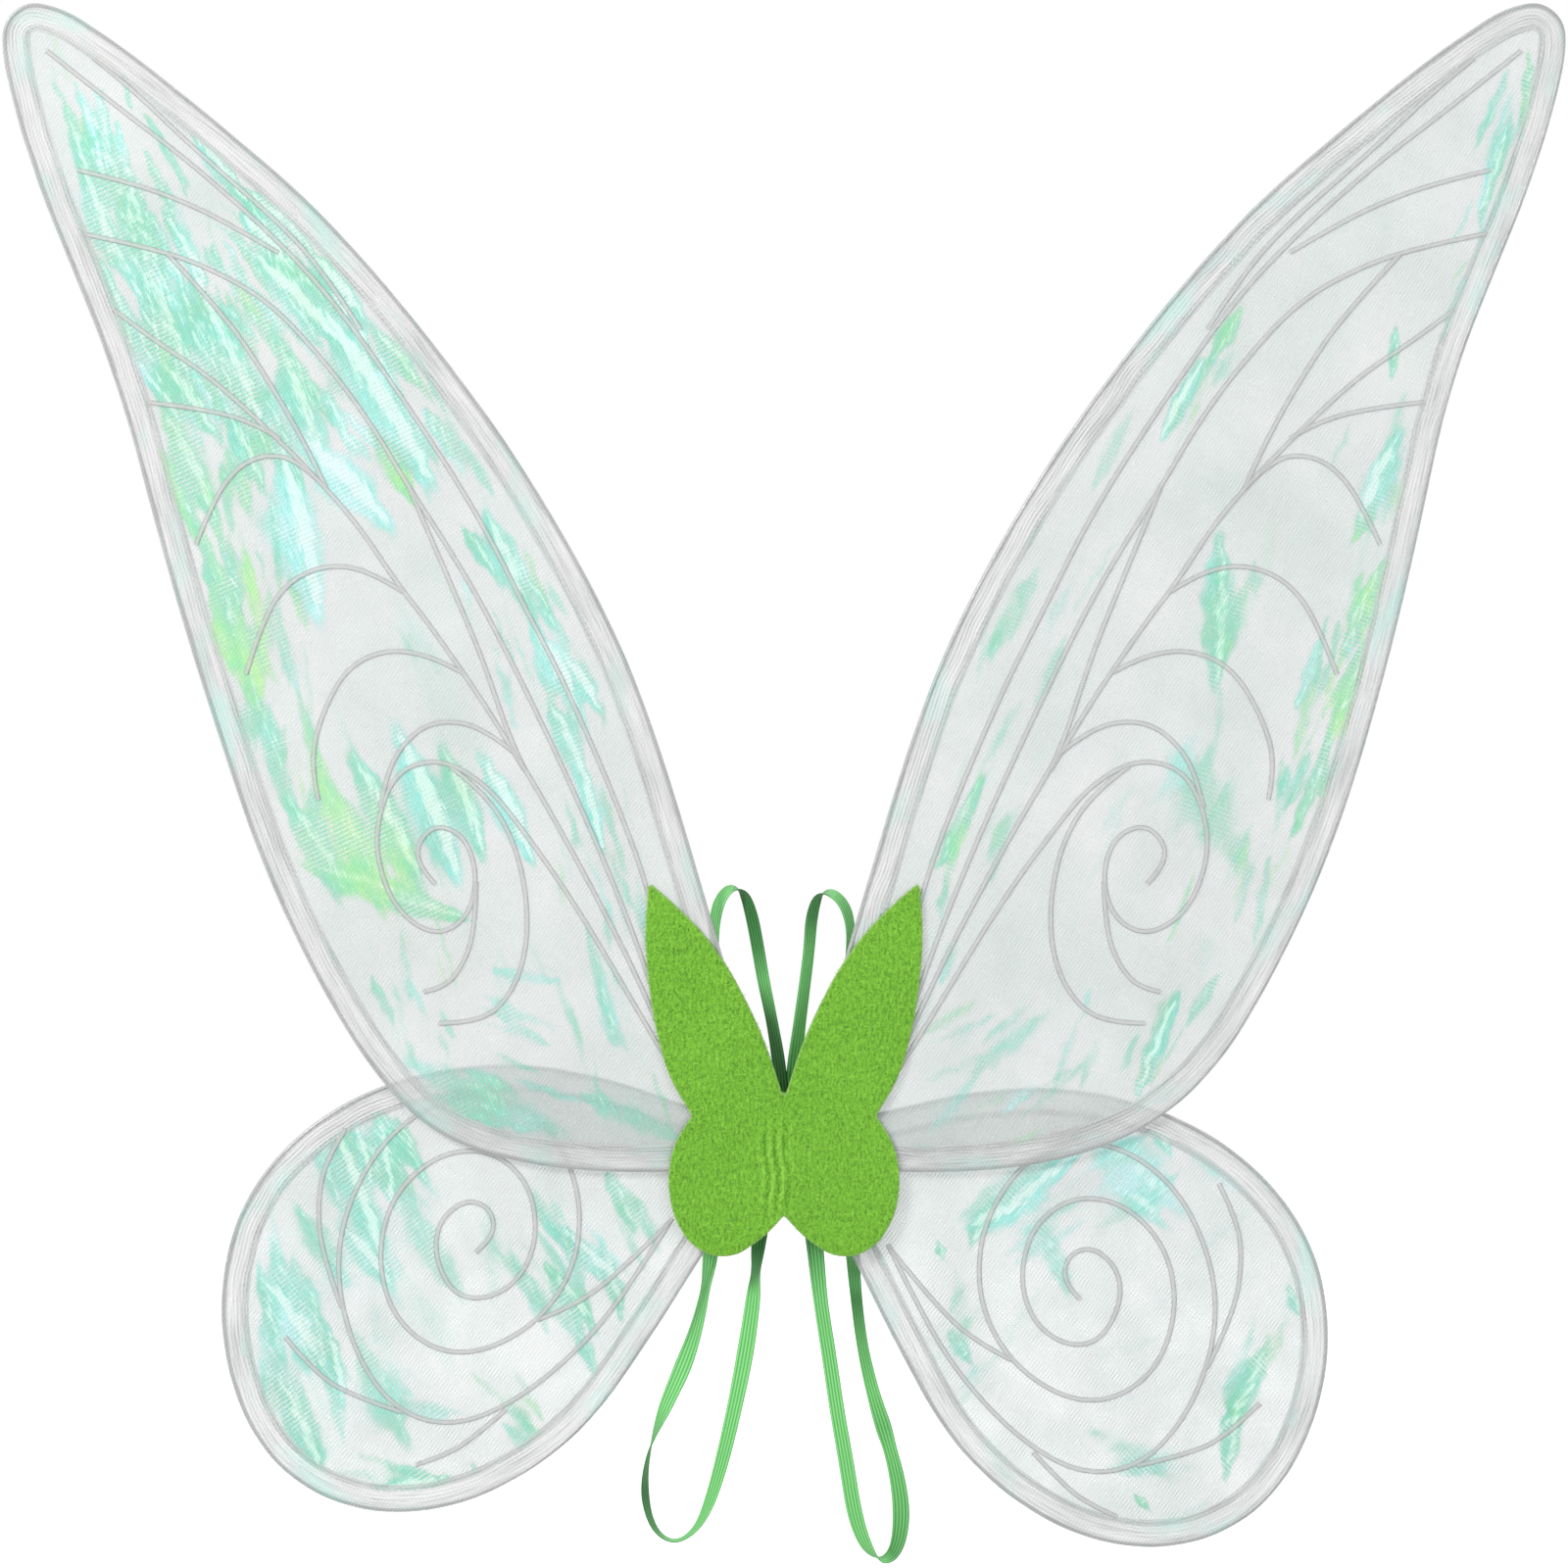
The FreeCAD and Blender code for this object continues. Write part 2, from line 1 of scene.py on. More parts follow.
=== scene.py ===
# %% [markdown]
# # Fairy wings
# A pair of costume wings: four wire frames covered in sheer cloth with crinkled iridescent film between the
# layers, corded with light veins, and joined by a bright green felt butterfly. Two elastic loops go over the
# wearer's shoulders. The working model, its joints and its sizes are loaded first and never moved. Everything
# made here is dressed on that frame, in metres, with X to the right, Z up and Y towards the wearer.
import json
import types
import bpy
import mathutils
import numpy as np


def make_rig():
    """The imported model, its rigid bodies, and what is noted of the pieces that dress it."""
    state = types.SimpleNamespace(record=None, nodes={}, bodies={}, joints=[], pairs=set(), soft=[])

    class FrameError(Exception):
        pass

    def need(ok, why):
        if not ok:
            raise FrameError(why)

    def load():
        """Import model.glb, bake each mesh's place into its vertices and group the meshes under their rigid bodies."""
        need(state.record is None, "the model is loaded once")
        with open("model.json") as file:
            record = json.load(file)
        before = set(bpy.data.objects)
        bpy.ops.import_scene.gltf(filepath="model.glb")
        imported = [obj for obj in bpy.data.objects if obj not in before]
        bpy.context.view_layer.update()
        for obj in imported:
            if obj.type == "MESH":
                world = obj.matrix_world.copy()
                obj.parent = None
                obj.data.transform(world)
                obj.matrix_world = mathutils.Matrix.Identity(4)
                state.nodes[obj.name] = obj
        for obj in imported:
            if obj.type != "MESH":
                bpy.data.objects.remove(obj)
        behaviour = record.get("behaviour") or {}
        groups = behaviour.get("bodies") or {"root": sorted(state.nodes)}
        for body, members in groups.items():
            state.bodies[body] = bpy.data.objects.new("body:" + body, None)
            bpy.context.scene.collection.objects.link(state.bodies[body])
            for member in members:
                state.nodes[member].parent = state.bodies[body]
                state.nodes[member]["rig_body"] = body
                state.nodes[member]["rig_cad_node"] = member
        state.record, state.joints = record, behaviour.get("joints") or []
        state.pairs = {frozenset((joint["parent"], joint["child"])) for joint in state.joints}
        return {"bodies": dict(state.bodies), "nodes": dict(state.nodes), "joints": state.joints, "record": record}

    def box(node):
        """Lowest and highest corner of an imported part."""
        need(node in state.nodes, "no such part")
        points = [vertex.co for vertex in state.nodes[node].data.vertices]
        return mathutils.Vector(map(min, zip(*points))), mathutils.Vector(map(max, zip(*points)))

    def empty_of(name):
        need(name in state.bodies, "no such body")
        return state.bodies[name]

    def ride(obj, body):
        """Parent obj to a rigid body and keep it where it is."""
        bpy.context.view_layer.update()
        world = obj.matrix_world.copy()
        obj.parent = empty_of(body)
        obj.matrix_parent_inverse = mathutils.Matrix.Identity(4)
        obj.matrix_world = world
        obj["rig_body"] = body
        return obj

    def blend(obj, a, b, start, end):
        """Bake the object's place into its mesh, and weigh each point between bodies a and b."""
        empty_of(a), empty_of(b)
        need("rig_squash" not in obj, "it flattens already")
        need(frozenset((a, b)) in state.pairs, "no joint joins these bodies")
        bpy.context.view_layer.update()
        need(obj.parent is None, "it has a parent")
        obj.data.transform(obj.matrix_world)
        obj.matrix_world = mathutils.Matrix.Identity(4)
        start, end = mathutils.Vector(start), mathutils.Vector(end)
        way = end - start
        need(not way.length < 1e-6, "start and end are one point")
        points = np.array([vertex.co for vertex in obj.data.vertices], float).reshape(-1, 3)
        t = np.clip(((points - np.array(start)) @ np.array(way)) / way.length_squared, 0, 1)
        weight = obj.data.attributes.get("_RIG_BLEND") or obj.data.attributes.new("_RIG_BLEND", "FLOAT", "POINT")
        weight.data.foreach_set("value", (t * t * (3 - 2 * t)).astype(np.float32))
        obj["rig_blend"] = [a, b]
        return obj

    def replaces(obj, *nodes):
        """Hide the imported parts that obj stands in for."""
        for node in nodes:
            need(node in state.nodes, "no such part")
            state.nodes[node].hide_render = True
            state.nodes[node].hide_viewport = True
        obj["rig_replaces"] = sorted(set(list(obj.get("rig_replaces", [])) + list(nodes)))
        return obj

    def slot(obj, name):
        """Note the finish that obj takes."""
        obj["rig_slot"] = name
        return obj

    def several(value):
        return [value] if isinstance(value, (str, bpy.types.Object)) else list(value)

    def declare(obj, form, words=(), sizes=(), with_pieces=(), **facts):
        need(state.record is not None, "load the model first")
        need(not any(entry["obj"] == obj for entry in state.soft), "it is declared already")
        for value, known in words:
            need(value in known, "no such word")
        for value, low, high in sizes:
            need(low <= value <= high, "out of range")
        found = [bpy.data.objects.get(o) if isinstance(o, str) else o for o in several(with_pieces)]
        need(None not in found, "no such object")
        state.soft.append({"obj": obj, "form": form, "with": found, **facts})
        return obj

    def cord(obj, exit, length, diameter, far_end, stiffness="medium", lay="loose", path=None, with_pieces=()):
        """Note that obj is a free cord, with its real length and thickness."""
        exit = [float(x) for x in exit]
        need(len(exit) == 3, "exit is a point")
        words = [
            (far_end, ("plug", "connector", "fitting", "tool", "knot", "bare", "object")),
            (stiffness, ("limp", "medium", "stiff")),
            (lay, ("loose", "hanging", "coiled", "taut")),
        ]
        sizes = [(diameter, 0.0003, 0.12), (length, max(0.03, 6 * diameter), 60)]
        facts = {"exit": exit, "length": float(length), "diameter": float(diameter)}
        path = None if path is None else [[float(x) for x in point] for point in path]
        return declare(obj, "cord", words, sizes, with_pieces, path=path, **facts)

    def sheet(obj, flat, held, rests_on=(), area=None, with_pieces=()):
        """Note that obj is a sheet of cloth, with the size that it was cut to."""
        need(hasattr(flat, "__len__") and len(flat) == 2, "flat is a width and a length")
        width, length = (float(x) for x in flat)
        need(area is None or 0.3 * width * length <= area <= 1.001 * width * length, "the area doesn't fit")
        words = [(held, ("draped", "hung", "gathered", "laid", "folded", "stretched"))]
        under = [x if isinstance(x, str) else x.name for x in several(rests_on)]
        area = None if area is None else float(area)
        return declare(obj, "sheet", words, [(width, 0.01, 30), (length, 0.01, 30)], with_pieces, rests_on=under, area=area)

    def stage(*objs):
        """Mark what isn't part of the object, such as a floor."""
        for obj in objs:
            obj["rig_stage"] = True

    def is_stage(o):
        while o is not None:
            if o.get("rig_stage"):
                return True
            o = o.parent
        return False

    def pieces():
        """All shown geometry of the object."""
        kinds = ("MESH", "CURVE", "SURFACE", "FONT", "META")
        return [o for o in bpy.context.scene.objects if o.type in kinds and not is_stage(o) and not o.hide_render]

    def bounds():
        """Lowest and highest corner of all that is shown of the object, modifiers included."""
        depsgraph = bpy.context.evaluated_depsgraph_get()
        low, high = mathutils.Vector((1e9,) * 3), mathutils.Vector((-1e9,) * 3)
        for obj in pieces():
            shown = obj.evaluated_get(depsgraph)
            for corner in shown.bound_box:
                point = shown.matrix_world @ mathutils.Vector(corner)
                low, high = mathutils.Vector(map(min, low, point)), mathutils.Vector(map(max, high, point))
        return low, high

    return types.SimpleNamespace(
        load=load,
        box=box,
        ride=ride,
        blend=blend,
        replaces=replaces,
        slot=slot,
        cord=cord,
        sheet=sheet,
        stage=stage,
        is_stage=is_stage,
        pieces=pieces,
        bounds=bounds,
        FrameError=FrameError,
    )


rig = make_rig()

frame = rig.load()

import bmesh
import bpy
import json
import math
import numpy as np
from mathutils import Vector
from mathutils.geometry import delaunay_2d_cdt

scene = bpy.context.scene
cad_low, cad_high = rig.bounds()
print("frame", len(frame["nodes"]), "nodes, box", [round(v, 4) for v in (*cad_low, *cad_high)])

# %% [markdown]
# ## The studio
# The wings are sheer, so what is behind them is as important as the light in front. A pale floor and a pale
# surround let the cloth read as a soft grey veil, and large area lights give the crinkled film something
# bright to catch. The long lens keeps the flat wings free of perspective.

# %% Camera
LENS = 150.0
SENSOR = 36.0
VIEW_WIDTH = 0.800
VIEW_HEIGHT = 0.190
wing_plane = (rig.box("left_upper_film")[0].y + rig.box("left_lower_film")[0].y) / 2
camera_data = bpy.data.cameras.new("studio_camera")
camera_data.lens = LENS
camera_data.sensor_width = SENSOR
camera = bpy.data.objects.new("studio_camera", camera_data)
camera.location = (0.0, wing_plane - VIEW_WIDTH * LENS / SENSOR, VIEW_HEIGHT)
camera.rotation_euler = (math.pi / 2, 0.0, 0.0)
scene.collection.objects.link(camera)
scene.camera = camera
scene.view_settings.view_transform = "Standard"
print("camera", round(-camera.location.y, 3), "m in front of the wings")


# %% Nodes, made in one line each
def fill(tree, node, inputs):
    """Set a node's inputs: each is a plain value or another node's output."""
    for key, value in inputs.items():
        if isinstance(value, bpy.types.NodeSocket):
            tree.links.new(value, node.inputs[key])
        else:
            node.inputs[key].default_value = value
    return node


def add(tree, kind, inputs=None, **settings):
    """A node with its settings; an input is a plain value or another node's output."""
    node = tree.nodes.new(kind)
    for key, value in settings.items():
        setattr(node, key, value)
    return fill(tree, node, inputs or {})


def math_of(tree, operation, first, second=0.0):
    return add(tree, "ShaderNodeMath", {0: first, 1: second}, operation=operation).outputs[0]


def linked(obj):
    scene.collection.objects.link(obj)
    return obj


# %% Soft lights
def soft_light(name, place, aim, size, power, colour):
    data = bpy.data.lights.new(name, "AREA")
    data.shape = "DISK"
    data.size = size
    data.energy = power
    data.color = colour
    light = linked(bpy.data.objects.new(name, data))
    light.location = place
    light.rotation_euler = (Vector(aim) - Vector(place)).to_track_quat("-Z", "Y").to_euler()
    return light


soft_light("key_light", (-1.9, -1.7, 1.8), (0, 0, 0.15), 0.9, 52.0, (1.0, 0.99, 0.97))
soft_light("fill_light", (1.8, -1.9, 0.6), (0, 0, 0.15), 1.6, 12.0, (0.95, 0.98, 1.0))
soft_light("back_light", (0.4, 2.0, 1.6), (0, 0, 0.2), 1.6, 12.0, (1.0, 1.0, 1.0))

# %% The surround: white to the eye, softer as a light
SURROUND_LIGHT = 0.58
world = bpy.data.worlds.new("pale_surround")
world.use_nodes = True
scene.world = world
sky = world.node_tree
sky.nodes.clear()
seen_directly = add(sky, "ShaderNodeLightPath").outputs["Is Camera Ray"]
lighting = add(sky, "ShaderNodeBackground", {"Color": (0.97, 0.99, 1.0, 1), "Strength": SURROUND_LIGHT})
backdrop = add(sky, "ShaderNodeBackground", {"Color": (1, 1, 1, 1), "Strength": 1.0})
surround = add(sky, "ShaderNodeMixShader", {0: seen_directly, 1: lighting.outputs[0], 2: backdrop.outputs[0]})
add(sky, "ShaderNodeOutputWorld", {"Surface": surround.outputs[0]})

# %% Floor
FLOOR_RADIUS = 4.0
FLOOR_DROP = 0.008
FLOOR_GLOW = 0.66
floor_mesh = bpy.data.meshes.new("floor")
floor_shape = bmesh.new()
bmesh.ops.create_circle(floor_shape, cap_ends=True, segments=64, radius=FLOOR_RADIUS)
bmesh.ops.translate(floor_shape, verts=floor_shape.verts, vec=(0, 0, cad_low.z - FLOOR_DROP))
floor_shape.to_mesh(floor_mesh)
floor_shape.free()
floor = linked(bpy.data.objects.new("floor", floor_mesh))
floor_paint = bpy.data.materials.new("pale_floor")
floor_paint.use_nodes = True
floor_bsdf = floor_paint.node_tree.nodes["Principled BSDF"]
floor_grain = add(floor_paint.node_tree, "ShaderNodeTexNoise", {"Scale": 3.0})
floor_tone = add(floor_paint.node_tree, "ShaderNodeMapRange",
                 {"Value": floor_grain.outputs[0], "To Min": 0.66, "To Max": 0.70})
floor_paint.node_tree.links.new(floor_tone.outputs[0], floor_bsdf.inputs["Base Color"])
floor_bsdf.inputs["Roughness"].default_value = 0.9
floor_bsdf.inputs["Emission Color"].default_value = (1, 1, 1, 1)
floor_seen = add(floor_paint.node_tree, "ShaderNodeLightPath").outputs["Is Camera Ray"]
floor_glow = math_of(floor_paint.node_tree, "MULTIPLY", floor_seen, FLOOR_GLOW)
floor_paint.node_tree.links.new(floor_glow, floor_bsdf.inputs["Emission Strength"])
floor_mesh.materials.append(floor_paint)
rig.stage(floor)
print("floor at", round(floor_mesh.vertices[0].co.z, 4))

# %% [markdown]
# ## Reading shapes from the frame
# The flat wing parts of the frame are thin slabs that face along Y. The edge loop of the faces that look
# at the viewer is the exact outline, so every visible sheet is cut from the frame's own outline instead of
# from numbers repeated here. A loop is resampled evenly before it is moved in or out.


# %% Outlines from the frame's nodes
def flat_loops(node_name):
    """Edge loops of the faces that look along -Y, each as an array of (x, z), with its length and depth."""
    shape = bmesh.new()
    shape.from_mesh(frame["nodes"][node_name].data)
    bmesh.ops.remove_doubles(shape, verts=shape.verts, dist=1e-5)
    shape.normal_update()
    shape.verts.ensure_lookup_table()
    neighbours = {}
    for edge in shape.edges:
        if sum(face.normal.y < -0.99 for face in edge.link_faces) == 1:
            for one, other in (edge.verts, reversed(edge.verts)):
                neighbours.setdefault(one.index, []).append(other.index)
    loops = []
    used = set()
    for first in neighbours:
        if first in used:
            continue
        loop = [first]
        used.add(first)
        while True:
            following = [index for index in neighbours[loop[-1]] if index not in used]
            if not following:
                break
            used.add(following[0])
            loop.append(following[0])
        points = np.array([shape.verts[index].co[:] for index in loop])
        flat = points[:, [0, 2]]
        loops.append((perimeter(flat), points[:, 1].mean(), flat))
    shape.free()
    return sorted(loops, key=lambda item: -item[0])


def perimeter(loop):
    return float(np.linalg.norm(loop - np.roll(loop, 1, axis=0), axis=1).sum())


def anticlockwise(loop):
    following = np.roll(loop, -1, axis=0)
    area = (loop[:, 0] * following[:, 1] - following[:, 0] * loop[:, 1]).sum() / 2
    return loop if area > 0 else loop[::-1]


def evenly(loop, step):
    """The same closed loop with its points a step apart."""
    closed = np.vstack([loop, loop[:1]])
    along = np.concatenate([[0], np.cumsum(np.linalg.norm(np.diff(closed, axis=0), axis=1))])
    places = np.linspace(0, along[-1], max(8, round(along[-1] / step)), endpoint=False)
    return np.stack([np.interp(places, along, closed[:, axis]) for axis in (0, 1)], axis=1)


def smoothed(loop, passes):
    for _ in range(passes):
        loop = (np.roll(loop, 1, axis=0) + 2 * loop + np.roll(loop, -1, axis=0)) / 4
    return loop


def moved_out(loop, distance):
    """An anticlockwise loop moved outwards, or inwards where the distance is negative."""
    tangent = np.roll(loop, -1, axis=0) - np.roll(loop, 1, axis=0)
    tangent /= np.linalg.norm(tangent, axis=1)[:, None]
    return loop + distance * np.stack([tangent[:, 1], -tangent[:, 0]], axis=1)


def inside(points, loop):
    """Which points lie in a closed loop, by counting the edges to the right of each."""
    crossings = np.zeros(len(points), int)
    for (x1, z1), (x2, z2) in zip(loop, np.roll(loop, -1, axis=0)):
        if z1 == z2:
            continue
        between = (points[:, 1] > min(z1, z2)) & (points[:, 1] <= max(z1, z2))
        crossing_x = x1 + (points[:, 1] - z1) * (x2 - x1) / (z2 - z1)
        crossings += between & (crossing_x > points[:, 0])
    return crossings % 2 == 1


def nearest(points, line):
    """For each point, the index of the nearest point on a line and how far it is."""
    index = np.empty(len(points), int)
    far = np.empty(len(points))
    for start in range(0, len(points), 4000):
        part = points[start:start + 4000]
        square = ((part[:, None, :] - line[None, :, :]) ** 2).sum(axis=2)
        index[start:start + 4000] = square.argmin(axis=1)
        far[start:start + 4000] = np.sqrt(square.min(axis=1))
    return index, far


# %% A sheet of even triangles inside an outline
def triangulated(loop, step, extra=()):
    """Even triangles that fill a loop: their (x, z) points and their corners."""
    low = loop.min(axis=0)
    high = loop.max(axis=0)
    rows = np.arange(low[1] + step / 2, high[1], step * math.sqrt(3) / 2)
    grid = [
        np.stack([np.arange(low[0] + (row % 2) * step / 2, high[0], step),
                  np.full(len(np.arange(low[0] + (row % 2) * step / 2, high[0], step)), z)], axis=1)
        for row, z in enumerate(rows)
    ]
    grid = np.vstack(grid)
    grid = grid[inside(grid, loop)]
    rings = [loop, *extra]
    grid = grid[nearest(grid, np.vstack(rings))[1] > 0.55 * step]
    points = np.vstack([*rings, grid])
    count = len(loop)
    rim = [(index, (index + 1) % count) for index in range(count)]
    made = delaunay_2d_cdt([Vector(point) for point in points], rim, [], 1, 1e-9)
    corners = np.array([face for face in made[2] if len(face) == 3])
    placed = np.array([point[:] for point in made[0]])
    used, corners = np.unique(corners, return_inverse=True)
    return placed[used], corners.reshape(-1, 3)


def mesh_object(name, points, faces, material=None, smooth=True):
    mesh = bpy.data.meshes.new(name)
    mesh.from_pydata([tuple(point) for point in points], [], [tuple(int(i) for i in face) for face in faces])
    mesh.validate()
    if smooth:
        mesh.shade_smooth()
    if material:
        mesh.materials.append(material)
    return linked(bpy.data.objects.new(name, mesh))


def facing(points, corners, toward_front):
    """The corners of flat triangles, turned so that they all face the viewer or all face the wearer."""
    a, b, c = (points[corners[:, k]] for k in range(3))
    across = (b[:, 0] - a[:, 0]) * (c[:, 1] - a[:, 1]) - (b[:, 1] - a[:, 1]) * (c[:, 0] - a[:, 0])
    wrong = (across < 0) if toward_front else (across > 0)
    turned = corners.copy()
    turned[wrong] = turned[wrong][:, ::-1]
    return turned


def outward(obj):
    """Turn every face of a closed shape to look out."""
    shape = bmesh.new()
    shape.from_mesh(obj.data)
    bmesh.ops.recalc_face_normals(shape, faces=shape.faces)
    shape.to_mesh(obj.data)
    shape.free()


def unwrapped(obj, name, across, along):
    """Give each point a place in the material's own flat pattern."""
    corners = np.array([loop.vertex_index for loop in obj.data.loops])
    layer = obj.data.uv_layers.new(name=name)
    layer.data.foreach_set("uv", np.stack([across, along], axis=1)[corners].ravel())


def stored(obj, name, values):
    attribute = obj.data.attributes.new(name, "FLOAT", "POINT")
    attribute.data.foreach_set("value", np.asarray(values, np.float32))


# %% Ripples: a smooth random field
def ripples(seed, count, shortest, longest, leaning=0.0, spread=math.pi):
    """Waves of random direction, length and phase, together of about unit height."""
    rng = np.random.default_rng(seed)
    angles = leaning + rng.uniform(-spread / 2, spread / 2, count)
    lengths = rng.uniform(shortest, longest, count)
    phases = rng.uniform(0, 2 * math.pi, count)

    def height(x, z):
        total = 0.0
        for angle, length, phase in zip(angles, lengths, phases):
            total = total + np.sin(2 * math.pi * (x * math.cos(angle) + z * math.sin(angle)) / length + phase)
        return total / math.sqrt(count)

    return height


billow = ripples(3, 7, 0.060, 0.140)
print("ripples from", round(float(billow(0.1, 0.1)), 3), "to", round(float(billow(0.3, 0.4)), 3))

# %% [markdown]
# ## Shader groups
# The sheer cloth, the hem, the veins and the elastic all show threads, and nearly every surface varies a
# little in tone. Those two effects are node groups, built once and placed in each material with its own
# values. They give out masks and heights only, and each material keeps its own shader.


# %% The weave group
def shader_group(name, inputs, outputs):
    """A node group with named number and vector inputs and float outputs."""
    tree = bpy.data.node_groups.new(name, "ShaderNodeTree")
    for key, value in inputs.items():
        kind = "NodeSocketVector" if value is None else "NodeSocketFloat"
        socket = tree.interface.new_socket(key, in_out="INPUT", socket_type=kind)
        if value is not None:
            socket.default_value = value
    for key in outputs:
        tree.interface.new_socket(key, in_out="OUTPUT", socket_type="NodeSocketFloat")
    return tree, tree.nodes.new("NodeGroupInput"), tree.nodes.new("NodeGroupOutput")


WAVE_PERIOD = math.pi / 10
weave, weave_in, weave_out = shader_group(
    "sheer_weave", {"Vector": None, "Threads per metre": 700.0, "Slant": 0.7, "Wander": 0.6},
    ["Threads", "Height"])
wave_scale = math_of(weave, "MULTIPLY", weave_in.outputs["Threads per metre"], WAVE_PERIOD)
slanted = add(weave, "ShaderNodeVectorRotate",
              {"Vector": weave_in.outputs["Vector"], "Angle": weave_in.outputs["Slant"]},
              rotation_type="Y_AXIS")
sets = []
for direction in ("X", "Z"):
    threads = add(weave, "ShaderNodeTexWave", {"Vector": slanted.outputs[0], "Scale": wave_scale,
                                               "Distortion": weave_in.outputs["Wander"], "Detail": 1.0,
                                               "Detail Scale": 0.6}, bands_direction=direction)
    sets.append(threads.outputs["Fac"])
sets[1] = math_of(weave, "MULTIPLY", sets[1], 0.5)
crossing = math_of(weave, "MAXIMUM", sets[0], sets[1])
weave.links.new(crossing, weave_out.inputs["Threads"])
weave.links.new(math_of(weave, "ADD", sets[0], sets[1]), weave_out.inputs["Height"])

# %% The mottle group
mottle, mottle_in, mottle_out = shader_group(
    "mottle", {"Vector": None, "Scale": 60.0, "Stretch": 1.0, "Low": 0.0, "High": 1.0}, ["Value"])
stretching = add(mottle, "ShaderNodeCombineXYZ",
                 {"X": mottle_in.outputs["Stretch"], "Y": 1.0, "Z": 1.0})
drawn_out = add(mottle, "ShaderNodeVectorMath",
                {0: mottle_in.outputs["Vector"], 1: stretching.outputs[0]}, operation="MULTIPLY")
clouds = add(mottle, "ShaderNodeTexNoise",
             {"Vector": drawn_out.outputs[0], "Scale": mottle_in.outputs["Scale"],
                                            "Detail": 3.0, "Roughness": 0.55})
spreading = add(mottle, "ShaderNodeMapRange",
                {"Value": clouds.outputs[0], "From Min": 0.32, "From Max": 0.68,
                 "To Min": mottle_in.outputs["Low"], "To Max": mottle_in.outputs["High"]})
mottle.links.new(spreading.outputs[0], mottle_out.inputs["Value"])


# %% Material helpers
def new_material(name, roughness, **plain):
    """A material whose constants sit on the shader's own sockets."""
    material = bpy.data.materials.new(name)
    material.use_nodes = True
    bsdf = material.node_tree.nodes["Principled BSDF"]
    bsdf.inputs["Roughness"].default_value = roughness
    for key, value in plain.items():
        bsdf.inputs[key.replace("_", " ")].default_value = value
    place = add(material.node_tree, "ShaderNodeTexCoord")
    return material, material.node_tree, bsdf, place


def varied(tree, place, space, scale, low, high, stretch=1.0):
    """The mottle group, placed in a material: a value that wanders from low to high."""
    node = add(tree, "ShaderNodeGroup", node_tree=mottle)
    fill(tree, node, {"Vector": place.outputs[space], "Scale": scale, "Stretch": stretch,
                      "Low": low, "High": high})
    return node.outputs[0]


def woven(tree, place, count, slant, wander):
    """The weave group, placed in a material, with a count of threads per metre."""
    node = add(tree, "ShaderNodeGroup", node_tree=weave)
    fill(tree, node, {"Vector": place.outputs["Object"], "Threads per metre": count, "Slant": slant,
                      "Wander": wander})
    return node.outputs


def paint(tree, bsdf, colour):
    tree.links.new(colour, bsdf.inputs["Base Color"])


def ramp(tree, fac, stops):
    """A colour ramp; stops are (position, (r, g, b))."""
    node = add(tree, "ShaderNodeValToRGB", {"Fac": fac})
    elements = node.color_ramp.elements
    while len(elements) < len(stops):
        elements.new(0.5)
    for element, (position, colour) in zip(elements, stops):
        element.position = position
        element.color = (*colour, 1)
    return node.outputs["Color"]


def two_toned(name, roughness, scale, dark, light, **plain):
    """A material whose colour only wanders from a dark tone to a light one."""
    material, tree, bsdf, place = new_material(name, roughness, **plain)
    tone = varied(tree, place, "Object", scale, 0.0, 1.0)
    paint(tree, bsdf, ramp(tree, tone, [(0.0, dark), (1.0, light)]))
    return material


def bump(tree, bsdf, height, strength, distance):
    node = add(tree, "ShaderNodeBump", {"Height": height, "Strength": strength, "Distance": distance})
    tree.links.new(node.outputs[0], bsdf.inputs["Normal"])


def ranged(tree, value, low, high, from_low=0.0, from_high=1.0, smooth=False):
    kind = "SMOOTHSTEP" if smooth else "LINEAR"
    limits = {"From Min": from_low, "From Max": from_high, "To Min": low, "To Max": high}
    return add(tree, "ShaderNodeMapRange", {"Value": value, **limits}, interpolation_type=kind).outputs[0]


# %% [markdown]
# ## Cloth, film, hem and vein finishes
# The cloth is a fine nylon voile: nearly clear, with threads on the bias. It is a grey veil because each
# thread covers only part of the light, so the weave drives Alpha. The film is clear where it is smooth and
# mint, teal and yellow-green where a crease turns it to the light. That reflection is painted: two values stored
# on its mesh, how strongly a spot glints and which colour it leans to, drive its colour and cover, a third
# paints a bright highlight along each crease's crest, and where it glints the film glows a little.

# %% Sheer cloth
LIGHT_PASSED = 0.72


def covers(tree, bsdf, cover):
    """Drives Alpha by the cover. Sheer cloth passes light on to what lies behind, so its shadow is pale."""
    in_shadow = add(tree, "ShaderNodeLightPath").outputs["Is Shadow Ray"]
    passed = math_of(tree, "MULTIPLY", in_shadow, LIGHT_PASSED)
    seen = math_of(tree, "SUBTRACT", 1.0, passed)
    tree.links.new(math_of(tree, "MULTIPLY", cover, seen), bsdf.inputs["Alpha"])


def sheer_cloth(name, slant, thin, dense, tones):
    material, tree, bsdf, place = new_material(name, 0.55, Sheen_Weight=0.2)
    threads = woven(tree, place, 600.0, slant, 0.9)
    patches = varied(tree, place, "Object", 40.0, 0.85, 1.15)
    cover = ranged(tree, threads["Threads"], thin, dense, 0.25, 1.0)
    covers(tree, bsdf, math_of(tree, "MULTIPLY", cover, patches))
    tone = varied(tree, place, "Object", 14.0, 0.0, 1.0)
    paint(tree, bsdf, ramp(tree, tone, tones))
    bump(tree, bsdf, threads["Height"], 0.35, 0.0003)
    return material


